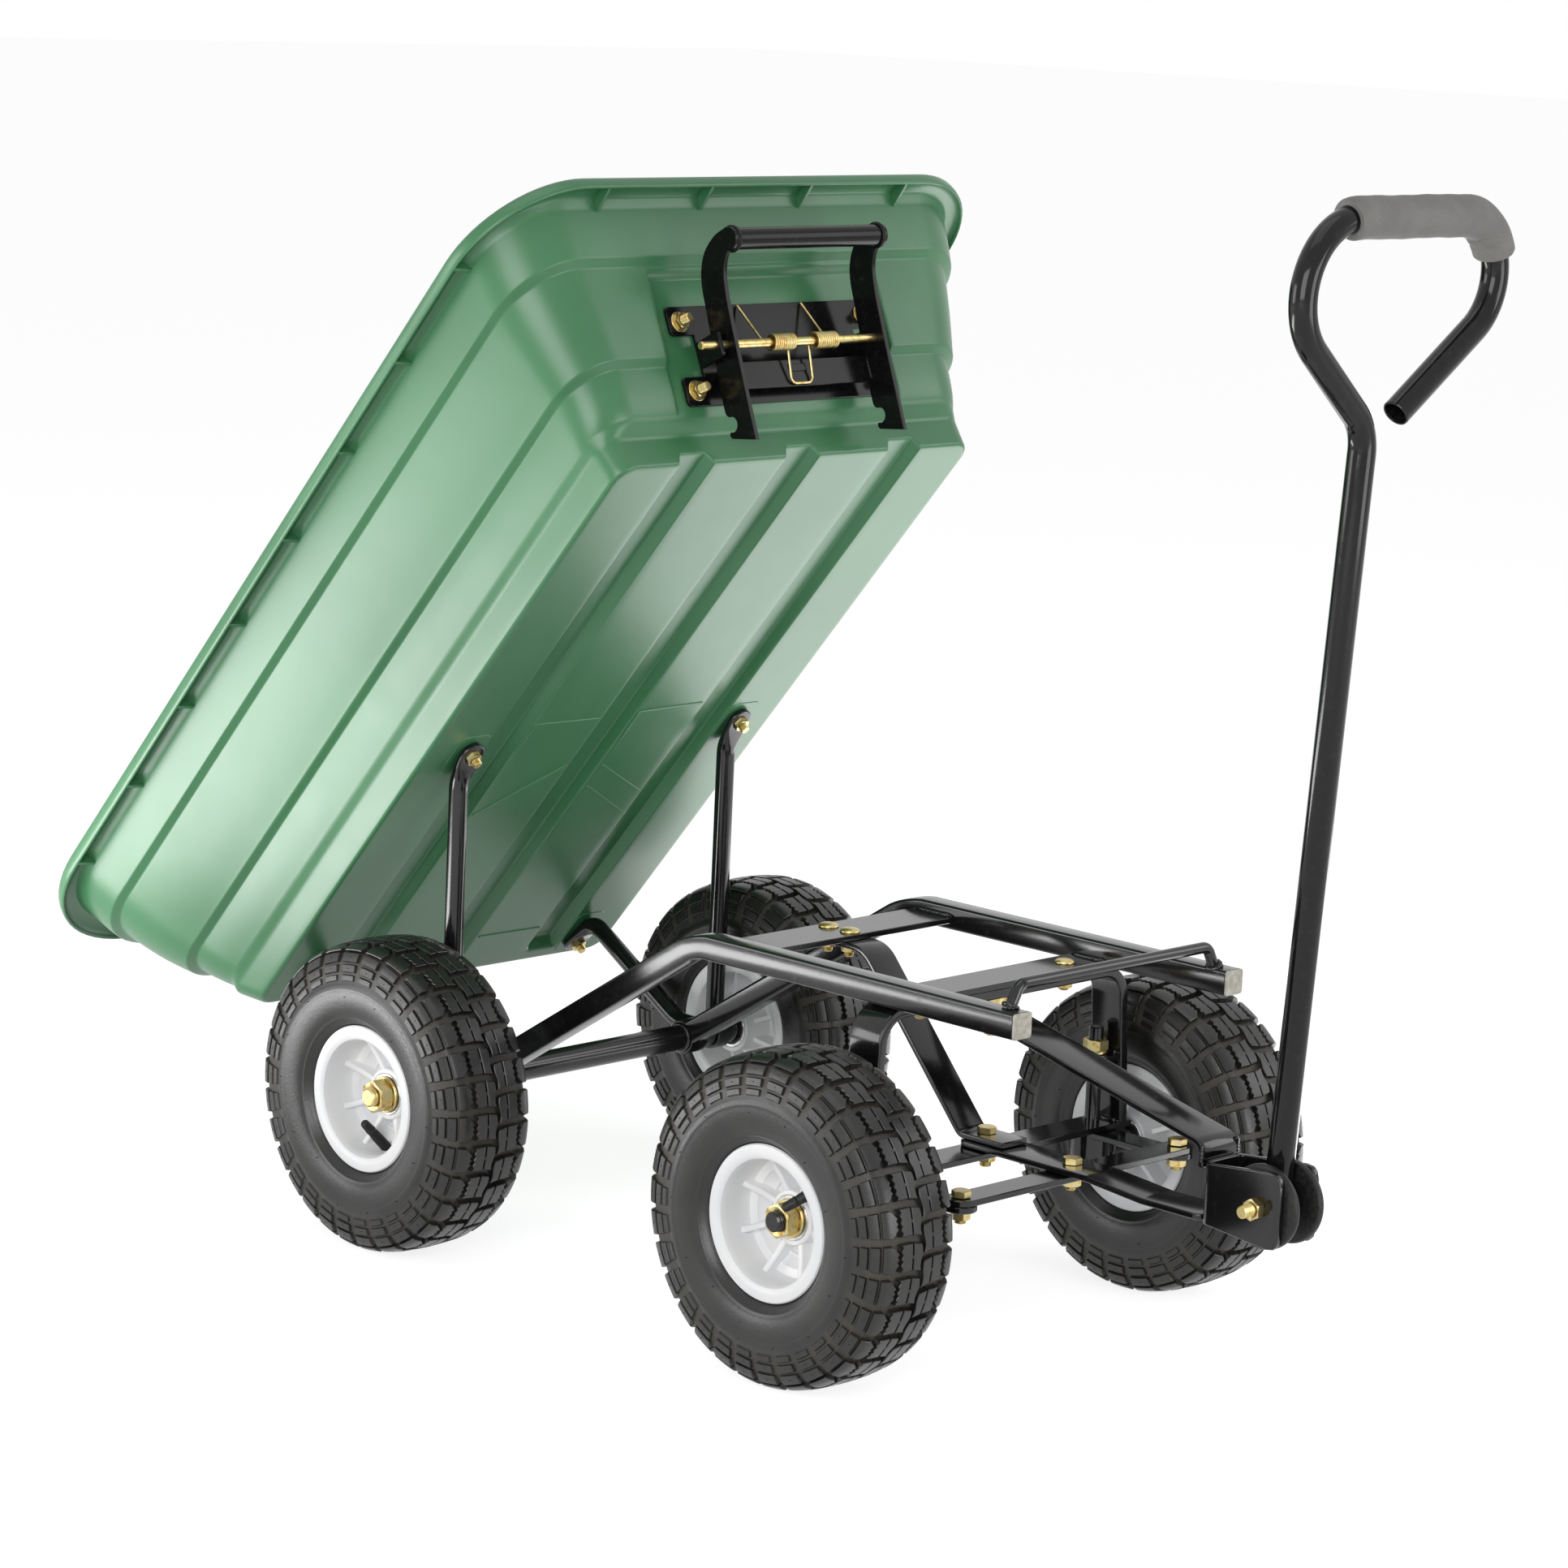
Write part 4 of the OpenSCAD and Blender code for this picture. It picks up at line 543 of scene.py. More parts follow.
def tyre_rubber():
    f = Finish("tyre_rubber", specular_ior_level=0.5)
    cloud = f.noise(26, 4, 0.6)
    fine = f.noise(360, 4, 0.65)
    dust = f.tone() * (0.45 + 0.75 * cloud.rise(0.35, 0.62))
    base = f.mix((0.006, 0.0057, 0.0055), (0.014, 0.0132, 0.0122), cloud.rise(0.3, 0.7))
    return f.done(f.mix(base, (0.05, 0.043, 0.032), dust.rise(0.05, 1.1) * (0.5 + 0.5 * fine)),
                  0.25 + 0.16 * fine + 0.3 * dust.rise(0.0, 1.0),
                  f.bump(fine, 0.00035, 0.45))


def yellow_zinc():
    f = Finish("yellow_zinc", metallic=1.0)
    sheen = f.noise(210, 3)
    fine = f.noise(1100, 3)
    return f.done(f.ramp(sheen, (0.3, (0.42, 0.27, 0.08)), (0.46, (0.6, 0.45, 0.19)),
                         (0.58, (0.52, 0.5, 0.24)), (0.7, (0.62, 0.4, 0.27))),
                  0.22 + 0.22 * fine,
                  f.bump(fine, 0.00005, 0.4))


def bearing_steel():
    f = Finish("bearing_steel", metallic=1.0)
    fine = f.noise(800, 3)
    return f.done(f.mix((0.5, 0.5, 0.51), (0.72, 0.72, 0.72), f.noise(160, 3).rise(0.35, 0.65)),
                  0.18 + 0.2 * fine,
                  f.bump(fine, 0.00004, 0.35))


def grip_foam():
    f = Finish("grey_foam", specular_ior_level=0.32, sheen_weight=0.12)
    pores = f.cells(1050)
    cloud = f.noise(44, 3)
    base = f.mix((0.165, 0.16, 0.152), (0.2, 0.195, 0.186), cloud.rise(0.3, 0.7))
    return f.done(f.mix(base, (0.08, 0.078, 0.075), (1 - pores.rise(0.1, 0.42)) * 0.5),
                  0.66 + 0.16 * cloud,
                  f.bump(pores.rise(0.05, 0.55), 0.00025, 0.45))


def plug_plastic():
    f = Finish("cream_plug")
    cloud = f.noise(180, 4)
    return f.done(f.mix((0.34, 0.325, 0.27), (0.5, 0.475, 0.41), cloud.rise(0.3, 0.7)),
                  0.34 + 0.2 * cloud,
                  f.bump(f.noise(700, 3), 0.0001, 0.5))


def black_rubber():
    f = Finish("black_rubber_trim", specular_ior_level=0.3)
    cloud = f.noise(300, 4)
    return f.done(f.mix((0.007, 0.007, 0.007), (0.02, 0.019, 0.018), cloud.rise(0.35, 0.7)),
                  0.36 + 0.22 * cloud,
                  f.bump(f.noise(1300, 2), 0.00008, 0.4))


# One black paint in three copies: the tube's and the latch's reflect less than the frame's, as painted shade for
# the darker surroundings that they reflect
black = black_gloss("black_gloss_paint", 0.5, 0.1)
tube_black_shaded = black_gloss("black_tube_paint", 0.3, 0.08)
latch_black_shaded = black_gloss("black_latch_paint", 0.16, 0.16)
green, white, rubber = tub_green(), wheel_white(), tyre_rubber()
zinc, steel, foam, cream, trim = yellow_zinc(), bearing_steel(), grip_foam(), plug_plastic(), black_rubber()


# Wheels: built about the local Z axis, whose positive side is the outside of the cart
PITCHES = 30
# Length along the outline at which the tread ends
TREAD_END = 69
# Tyre outline over the tread: radius, half width
TYRE_OUTLINE = np.array([(130, 0), (129.6, 12), (128.8, 23.4), (126.5, 33.5), (122.2, 38.5), (116, 41.6),
                         (107.4, 43.6), (96.5, 44.8), (84, 45), (72.3, 42.8), (64.6, 37.8), (61.6, 34.4)])


def smooth_curve(points, n):
    """Even lengths along a smooth curve through points, the spots there and the ways out of the curve."""
    fine = spline(np.vstack([2 * points[0] - points[1], points, 2 * points[-1] - points[-2]]), 24)
    length = lengths(fine)
    s = np.linspace(0, length[-1], n)
    spot = np.stack([np.interp(s, length, fine[:, k]) for k in (0, 1)], 1)
    way = np.gradient(spot, axis=0)
    way /= np.linalg.norm(way, axis=1)[:, None]
    return s, spot, np.stack([way[:, 1], -way[:, 0]], 1)


CURVE_S, CURVE_P, CURVE_N = smooth_curve(TYRE_OUTLINE, 240)


def groove_depth(s):
    """Depth of the tread's grooves along the outline, from the middle to the sidewall."""
    return np.interp(s, [0, 28, 40, 50, 58, 65, TREAD_END], [5.2, 5.2, 3.4, 2.4, 1.7, 1.1, 0])


def tread_spot(s, h, side):
    """Radius and width of a spot at a length along the outline and a height over its top."""
    s = np.asarray(s, float)
    p = np.stack([np.interp(np.abs(s), CURVE_S, CURVE_P[:, k]) for k in (0, 1)], -1)
    n = np.stack([np.interp(np.abs(s), CURVE_S, CURVE_N[:, k]) for k in (0, 1)], -1)
    q = p + n * np.asarray(h)[..., None]
    return q[..., 0], q[..., 1] * side


def tread_block(shape, side, turn_at, s_low, s_high, t_low, t_high, depth, nu=4, nv=4, draft=0.7):
    """A block of the tread: its ends and flanks are functions of the share along the other way."""
    u, v = np.linspace(0, 1, nu + 1), np.linspace(0, 1, nv + 1)
    U, V = np.meshgrid(u, v, indexing="ij")
    lo, hi = s_low(V), s_high(V)
    S = lo + (hi - lo) * U
    T = t_low(U) + (t_high(U) - t_low(U)) * V
    mid_s, mid_t = S.mean(), T.mean()
    layers = []
    # The top, its edge and the foot; the foot's drop is a share of the grooves' depth
    for inset, drop in [(0.55, 0.0), (0.1, 0.5), (-draft, 1.35)]:
        s = S - np.clip(S - mid_s, -1, 1) * inset * (np.abs(U - 0.5) > 0.49)
        t = T - np.clip(T - mid_t, -1, 1) * inset * (np.abs(V - 0.5) > 0.49)
        fall = drop if drop < 1 else depth(s) * drop
        r, w = tread_spot(s, -np.broadcast_to(fall, s.shape), side)
        a = turn_at + t / TYRE_R
        layers.append(np.stack([r * np.cos(a), r * np.sin(a), w], -1))
    edge = ([(i, 0) for i in range(nu)] + [(nu, j) for j in range(nv)]
            + [(i, nv) for i in range(nu, 0, -1)] + [(0, j) for j in range(nv, 0, -1)])
    shape.grid(layers[0], ring=False)
    skirt = [[layer[i, j] for i, j in edge] for layer in layers]
    shape.grid(skirt, shade=np.repeat([0.0, 0.0, 1.0], len(edge)))


def even(value):
    return lambda share: np.full(np.shape(share), float(value))


def zigzag(base, size, teeth):
    return lambda share: base + size * (np.abs((share * teeth) % 2 - 1) - 0.5)


def tyre_shape():
    shape = Shape()
    n = PITCHES * 8
    angles = circle(n)
    s = np.r_[np.linspace(0, TREAD_END - 1, 40), np.linspace(TREAD_END, CURVE_S[-1], 28)]
    # Two fine rings on the sidewall, by the rim and by the tread
    ring_line = 0.7 * np.exp(-((s - CURVE_S[-1] + 9) / 0.9) ** 2) + 0.4 * np.exp(-((s - TREAD_END - 3) / 0.7) ** 2)
    rows, shades = [], []
    for k in list(range(len(s) - 1, 0, -1)) + list(range(len(s))):
        side = 1 if len(rows) < len(s) - 1 else -1
        depth = float(groove_depth(s[k]))
        r, w = tread_spot(s[k], np.array(ring_line[k] - depth), side)
        rows.append(np.stack([r * np.cos(angles), r * np.sin(angles), np.full(n, w)], 1))
        shades += [min(1.0, depth / 2) * (0.9 if s[k] > 3 else 0.7)] * n
    bead = [(60.8, 33.3), (53.5, 33.1), (52.3, 32), (52.3, 24), (60, 29), (70, 36.5), (85, 39.8), (98, 39.5),
            (108, 37), (114, 32), (118, 22), (119, 0)]
    inside = bead + [(r, -w) for r, w in bead[-2::-1]]
    rows += [np.stack([r * np.cos(angles), r * np.sin(angles), np.full(n, -w)], 1) for r, w in inside]
    shades += [0.1] * (n * len(inside))
    shape.grid(rows, loop=True, shade=np.array(shades))
    half, gap, split, skew = math.pi * TYRE_R / PITCHES, 3.1, 10.5, 1.6
    low, high = -half + gap, half - gap
    wave = lambda v: 1.5 + 0.9 * np.sin(2 * math.pi * np.asarray(v))
    corner = lambda u: 4.2 * np.clip(1 - u * 3.2, 0, 1)
    shallow = lambda q: np.minimum(groove_depth(q), 2.4)
    # Blocks of one pitch on one side, from the middle to the sidewall
    blocks = [(wave, even(split - 0.7), lambda u: low - skew * (1 - u), lambda u: high - skew * (1 - u),
               groove_depth, 3, 8),
              (even(split + 0.7), zigzag(21.6, 1.7, 8), even(low), even(high), groove_depth, 3, 8),
              (even(split - 0.8), even(split + 0.8), even(-1.5), even(1.5), groove_depth, 1, 2, 0.2),
              (zigzag(25.2, 1.7, 6), even(38.4), lambda u: low + corner(u), lambda u: high - corner(u),
               groove_depth, 6, 6)]
    blocks += [(even(s0), even(s1), even(low + less), even(high - less), shallow, 3, 4, 0.4)
               for s0, s1, less in ((40.6, 48.8, 0.2), (51, 57.4, 0.9), (59.6, 64.6, 1.5))]
    for i in range(PITCHES):
        for side in (1, -1):
            a = 2 * math.pi * (i + (0.5 if side < 0 else 0)) / PITCHES
            for block in blocks:
                tread_block(shape, side, a, *block)
            for s0 in (44.7, 54.2):
                r, w = tread_spot(s0, np.array(0.0), side)
                spot = at(*(r * along(a)), w) @ turn("Z", math.degrees(a)) @ turn("Y", 90 - side * 62)
                shape.turned([(0, 0.55), (0.42, 0.4), (0.5, -0.4)], spot, 6)
    for side in (1, -1):
        for k in range(14):
            a = 2 * math.pi * (k + dice.uniform(-0.2, 0.2)) / 14
            r, w = tread_spot(dice.choice((71, 78, 90)), np.array(0.0), side)
            tip = dice.uniform(1.0, 2.0)
            spot = at(*(r * along(a)), w) @ turn("Z", math.degrees(a)) @ turn("Y", 90 - side * 80)
            shape.turned([(0, tip), (0.3, tip), (0.4, 0), (0.5, -0.6)], spot, 6)
    return shape


def wheel_place(wheel):
    x, y = (WHEELBASE, FRONT_HALF) if wheel.startswith("front") else (0, REAR_HALF)
    s = 1 if wheel.endswith("left") else -1
    return at(x, s * y, AXLE_Z) @ turn("X", -90 * s)


def rim_shape():
    shape = Shape()
    web_seat, web_hub = RIM_W * 0.02, RIM_W * -0.16
    face = [(52, 0), (52, 30), (53, 33.2), (60.2, 33.3), (61, 34), (61, 35.2), (60, 36.3), (58, 36.5), (54.5, 36.5),
            (51.5, 36.1), (49.6, 34.8), (48.6, 32.5), (48.1, 29), (47.7, 20), (47.5, web_seat + 7),
            (46.6, web_seat + 5), (44.5, web_seat + 4), (40.5, web_seat + 2.6), (40, web_seat + 1.4),
            (33.5, -2.6), (33, -1.0), (31, -1.8), (30.4, -3.8), (24.5, web_hub + 5.2), (22.6, web_hub + 5.4),
            (21.6, web_hub + 7), (21.3, HUB_OUT - 1.2), (20.6, HUB_OUT - 0.3), (19.6, HUB_OUT), (18.3, HUB_OUT),
            (17.6, HUB_OUT - 0.6), (17.5, HUB_OUT - BEARING_W), (13.6, HUB_OUT - BEARING_W)]
    back = [(13.6, -HUB_IN + BEARING_W), (17.5, -HUB_IN + BEARING_W), (17.6, -HUB_IN + 0.6), (18.3, -HUB_IN),
            (20.8, -HUB_IN), (21.5, -HUB_IN + 0.8), (21.8, web_hub - 1.5), (23, web_hub + 0.4),
            (46, web_seat - 1), (47.4, web_seat - 2.4), (47.8, -20), (48.4, -32), (49.6, -34.8), (51.5, -36.1),
            (54.5, -36.5), (58, -36.5), (60, -36.3), (61, -35.2), (61, -34), (60.2, -33.3), (53, -33.2), (52, -30)]
    shape.turned(face + back, None, 96, closed=True)
    for i in range(8):
        spoke = turn("Z", (i + 0.5) * 45) @ turn("X", 90)
        top = [(20.6, 6.4), (34, 10.6), (48, 17.2)]
        rows = []
        for (x, z), low in zip(top, (web_hub + 2, -3, web_seat + 2)):
            rows.append([(x, low, -2.7), (x, z - 1, -2.4), (x, z - 0.25, -1.8), (x, z, -0.9), (x, z, 0.9),
                         (x, z - 0.25, 1.8), (x, z - 1, 2.4), (x, low, 2.7)])
        shape.grid(rows, spoke, caps=True)
        back_rows = [[(x, z, -1.9), (x, low, -2.1), (x, low, 2.1), (x, z, 1.9)]
                     for x, z, low in ((20.6, -30, web_hub + 2), (34, -22, -5), (48, -16, web_seat + 2))]
        shape.grid(back_rows, spoke, caps=True)
    return shape


def bearing_shape():
    shape = Shape()
    for z, way in ((HUB_OUT - BEARING_W, 1), (-HUB_IN, -1)):
        base = at(0, 0, z) if way > 0 else at(0, 0, z + BEARING_W) @ turn("X", 180)
        w = BEARING_W
        shape.turned([(8.05, 0.4), (8.5, 0), (17, 0), (17.45, 0.5), (17.45, w - 0.6), (17, w - 0.1),
                      (15.2, w - 0.1), (15, w - 0.9)], base, 48)
        shape.turned([(15, w - 0.9), (14.6, w - 0.7), (11.2, w - 0.7), (10.8, w - 0.9)], base, 48, finish=1)
        shape.turned([(10.8, w - 0.9), (10.6, w - 0.1), (8.5, w - 0.1), (8.05, w - 0.5), (8.05, 0.4)], base, 48)
    return shape


def valve_shape(angle):
    shape = Shape()
    axis = turn("Z", angle) @ at(SEAT_R - 8, 0, RIM_W * 0.12) @ turn("Y", -45)
    stem = [(0, -5), (4.4, -5), (4.6, -3), (4.5, 14), (4.2, 16.5), (3.9, 20.5), (3.5, 21.4), (0, 21.4)]
    shape.turned(stem, axis, 28)
    cap = [(0, 21.2), (3.9, 21.2), (4.2, 21.8), (4.2, 23)]
    shape.turned(cap, axis, 28)
    n, rows = 28, []
    for z, r in ((23, 4.2), (23.3, 4.1), (31, 3.7), (32.6, 3.4), (33.6, 2.6), (34, 1.2)):
        knurl = 0.22 if 23.2 < z < 32 else 0
        rows.append([(*((r - knurl * (i % 2)) * along(a)), z) for i, a in enumerate(circle(n))])
    shape.grid(rows, axis, caps=True)
    return shape


# Pieces that all wheels share: piece, its nodes, finishes, slot, angle of its sharp edges and its maker
WHEEL_PIECES = (("tyre_{}_rubber", ("tyre", "inner_tube"), rubber, "tyre_rubber", 30, tyre_shape),
                ("rim_{}_plastic", ("rim",), white, "white_plastic", 32, rim_shape),
                ("bearings_{}_rings", ("bearings",), [steel, trim], "bright_steel", 32, bearing_shape))
VALVE_ANGLES = {"front_left": 270, "front_right": 45, "rear_left": 90, "rear_right": 270}


def wheels():
    meshes = {}
    for wheel, angle in VALVE_ANGLES.items():
        body, place = "wheel_" + wheel, wheel_place(wheel)
        for name, nodes, finishes, slot, sharp, maker in WHEEL_PIECES:
            words = name.format(wheel), body, [f"{node}_{wheel}" for node in nodes], slot
            if name in meshes:
                show(meshes[name], *words, place)
            else:
                meshes[name] = maker().piece(words[0], finishes, *words[1:], sharp, place).data
        valve_shape(angle).piece(f"valve_{wheel}_stem", trim, body, [f"valve_{wheel}"], "black_rubber", 32, place)


wheels()


# Tub: a net over its floor, its walls and its rim, drawn as it lies on the rails
GROOVES = (-118, 0, 118)
GROOVE_DEPTH, GROOVE_MOUTH, GROOVE_TOP = 9, 19, 13.6
RECESS_Y, RECESS_TOP = 126, 137
# How far the latch's recess and the panel round it stand out of the front wall
RECESS_OUT, PANEL_OUT = 0.55, 2.5
# Height by which the inside of a band lies above its outside, in full from RISE_FROM on
INNER_RISE, RISE_FROM = 3.0, 24
CORNER_STEPS = [math.tan(math.radians(45 * k / 8)) for k in range(9)]
EDGE_R = 3.0
# Bands of the walls between the ledges, which swell a little
BANDS, SWELL = ((37, 70), (75, 141), (146, 186)), 0.5
LEDGES, LEDGE_OUT = ((70.6, 74.4), (141.6, 145.4)), 5
REAR_BOW, REAR_FLARE, FLARE_START, FLARE_RUN, REAR_ROUND = 11, 0.02, 600, 790, 36
# Half lengths along which the points of the long and short walls keep their places on the way up
KEEP_X, KEEP_Y = 265, 138
# Pan under the walls, and half the width of the solids' floor, from which the side walls stand
PAN_H, PAN_OUT, PAN_R, SOLID_HALF = 26, 16, 18, 192
# Slopes in degrees: of the pan, the side walls, their middle band and the rear wall
PAN_DRAFT, SIDE_DRAFT, BAND_DRAFT, REAR_DRAFT = 9, 13.5, 20, 28.5
# Height of the lip's foot, and growth of the corners' radius up to it
LIP_Z, LIP_ROUND = 188.0, 30
# Share of the lip's width at the front, the sides and the rear
LIP = 0.9, 0.67, 1.0
WALL_ROWS = [8, 14, 20, 23, 24.2, 25.4, 26.6, 27.8, 29, 30.5, 32, 33.2, 34.4, 35.6, 36.8, 38.2, 46, 56, 64, 67,
             69.2, 70.1, 70.6, 71.1, 72.5, 73.9, 74.4, 74.9, 75.8, 78, 88, 98, 108, 118, 128, 134.6, 135.4,
             136.2, 137, 137.8, 139, 140.2, 141.1, 141.6, 142.1, 143.5, 144.9, 145.4, 145.9, 147, 150, 158,
             166, 174, 180, 183.5]
# Height of the rim's rows, and how far they stand out
RIM_ROWS = [(185.2, 0.4), (186.6, 1.4), (187.5, 2.8), (187.8, 4.6), (187.7, 9), (187.2, 13), (186, 16.4),
            (184, 19.2), (182, 20.6), (180.8, 21.2), (180.4, 22.2), (180.7, 23.4), (181.6, 24.2), (183.4, 24.6),
            (187.6, 24.6), (189.8, 24), (191.4, 22.6), (192.2, 20.4), (192.3, 12), (192.2, 4), (191.7, 1.4),
            (190.8, -0.8), (189.2, -2.6), (187, -3.6)]


def tan(degrees):
    return math.tan(math.radians(degrees))


def groove_lift(x, y, wider=0.0):
    """Height of the floor's grooves above the underside."""
    total = np.zeros(np.broadcast(x, y).shape)
    for middle in GROOVES:
        d = np.abs(y - middle)
        total = total + GROOVE_DEPTH * (1 - smooth_rise(d, GROOVE_TOP + wider, GROOVE_MOUTH + wider, 1.0))
    return total * smooth_rise(x, -FLOOR_REAR + 14, -FLOOR_REAR + 21, 2)


def wall_outline(z, y=None, shift=0.0, inset=0.0):
    """Growth of the tub's outline at a height: to the front, the sides and the rear, and corner radius."""
    def swell(q, bands):
        return SWELL * sum(math.sin(math.pi * min(max((q - a) / (b - a), 0), 1)) for a, b in bands)

    def ledge(q, i):
        return LEDGE_OUT * smooth_rise(q, *LEDGES[i], 0.5)

    def slope(step, draft):
        return z * tan(PAN_DRAFT) + (step - tan(PAN_DRAFT)) * band[0] + (tan(draft) - step) * band[1]
    q, rise = z - shift, WALL_LOW - PAN_H
    step = (PAN_OUT - PAN_H * tan(PAN_DRAFT)) / rise
    band = past(z - PAN_H, 2.2), past(z - WALL_LOW, 2.2)
    front = slope(step, FRONT_DRAFT)
    side = slope(step - (FLOOR_HALF - SOLID_HALF) / rise, SIDE_DRAFT)
    side = side + (tan(BAND_DRAFT) - tan(SIDE_DRAFT)) * (past(q - BANDS[1][0], 3) - past(q - BANDS[1][1], 3))
    rear = z * tan(REAR_DRAFT) + REAR_BOW * math.sin(math.pi * min(max(z / TUB_H, 0), 1))
    radius = PAN_R + PAN_R / rise * (band[0] - band[1]) + LIP_ROUND / (LIP_Z - WALL_LOW) * band[1]
    plain, proud = ledge(q, 0) + ledge(q, 1) + swell(q, BANDS), PANEL_OUT * smooth_rise(q, 36, 40, 1)
    panel = plain + proud
    if y is not None:
        over = PANEL_OUT + LEDGE_OUT - RECESS_OUT
        sunk = (RECESS_OUT * smooth_rise(q, 36, 38, 0.8) + ledge(q, 1) + swell(q, BANDS[2:])
                + over * smooth_rise(q, RECESS_TOP - 1, RECESS_TOP + 1, 0.8))
        share = smooth_rise(np.abs(y), RECESS_Y - 1.2, RECESS_Y + 1.2, 0.8)
        panel = sunk + (panel - sunk) * share
    return front + panel - inset, side + plain - inset, rear + plain - inset, radius - inset


def tub_lines(low, high, radius, marks):
    """Lines of the floor's net: fine ones in the round corners, the marks between them."""
    first = [(low + radius - radius * s, -1, s) for s in CORNER_STEPS[::-1]]
    last = [(high - radius + radius * s, 1, s) for s in CORNER_STEPS]
    return first + [(m, 0, 0.0) for m in sorted(marks)] + last


def tub_net():
    xs = tub_lines(-FLOOR_REAR, FLOOR_FRONT, PAN_R, [*range(-84, -71, 2), *np.linspace(-66, 540, 54)])
    marks = {0.0}
    for middle in GROOVES:
        for d in (GROOVE_MOUTH, GROOVE_TOP):
            for e in (-1.2, -0.6, 0, 0.6, 1.2):
                marks |= {round(middle + d + e, 2), round(middle - d + e, 2)}
        for e in (-9, 0, 9):
            marks.add(float(middle + e))
    for e in (-2.2, -1.2, -0.4, 0.4, 1.2, 2.2):
        marks |= {RECESS_Y + e, -RECESS_Y + e}
    marks |= {float(v) for v in range(-168, 169, 8) if all(abs(v - m) > 2.5 for m in marks)}
    ys = tub_lines(-FLOOR_HALF, FLOOR_HALF, PAN_R, [m for m in marks if abs(m) < 173])
    return xs, ys


def tub_floor(xs, ys, inset, level, wider):
    """Points of the floor's net, drawn in by an inset, with its grooves."""
    f, b, w, r = FLOOR_FRONT - inset, -FLOOR_REAR + inset, FLOOR_HALF - inset, PAN_R - inset
    X = np.zeros((len(xs), len(ys)))
    Y = np.zeros_like(X)
    for i, (x, cx, tx) in enumerate(xs):
        for j, (y, cy, ty) in enumerate(ys):
            px, py = tx, ty
            if cx and cy and max(tx, ty) > 0:
                pull = max(tx, ty) / math.hypot(tx, ty)
                px, py = tx * pull, ty * pull
            X[i, j] = f - r + r * px if cx > 0 else b + r - r * px if cx < 0 else x
            Y[i, j] = w - r + r * py if cy > 0 else -w + r - r * py if cy < 0 else y
    return np.stack([X, Y, level + groove_lift(X, Y, wider)], -1)


def spread(v, keep, now, then):
    """Keeps a place up to keep and spreads the rest of the straight side to its new end."""
    return v if abs(v) <= keep else math.copysign(keep + (abs(v) - keep) * (then - keep) / (now - keep), v)


def flare(x):
    """Share by which the rim is wider towards the rear."""
    return REAR_FLARE * (FLARE_START - x) / FLARE_RUN


def edge_loop(nx, ny):
    """Places round the edge of a net of nx by ny points."""
    return ([(nx - 1, j) for j in range(ny)] + [(i, ny - 1) for i in range(nx - 2, -1, -1)]
            + [(0, j) for j in range(ny - 2, -1, -1)] + [(i, 0) for i in range(1, nx - 1)])


def tub_ring(xs, ys, z, outline):
    """One ring of points round the tub; z and outline are functions of a front column's y."""
    nx = len(xs)
    middle, half = (FLOOR_FRONT - FLOOR_REAR) / 2, (FLOOR_FRONT + FLOOR_REAR) / 2 - PAN_R
    out = []
    for i, j in edge_loop(nx, len(ys)):
        x, cx, tx = xs[i]
        y, cy, ty = ys[j]
        front = i == nx - 1
        height = z(y) if front and not cy else z(None)
        df, ds, dr, r = outline(height, y if front and not cy else None)
        f, b, w = FLOOR_FRONT + df, -FLOOR_REAR - dr, FLOOR_HALF + ds
        up = max(height, 0) / TUB_H
        if cx < 0 or (not cx and x < middle):
            r = r + REAR_ROUND * up ** 1.5
        if cx and cy:
            a = math.atan2(ty, tx) if (front or i == 0) else math.atan2(1, tx)
            px = (f - r if cx > 0 else b + r) + cx * r * math.cos(a)
            py = cy * (w - r + r * math.sin(a))
        elif cx:
            px = f if cx > 0 else b
            py = spread(y, KEEP_Y, FLOOR_HALF - PAN_R, w - r)
        else:
            px = middle + spread(x - middle, KEEP_X, half, f - r - middle if x > middle else middle - b - r)
            py = cy * w
        out.append((px, py * (1 + flare(px) * up), height))
    return out


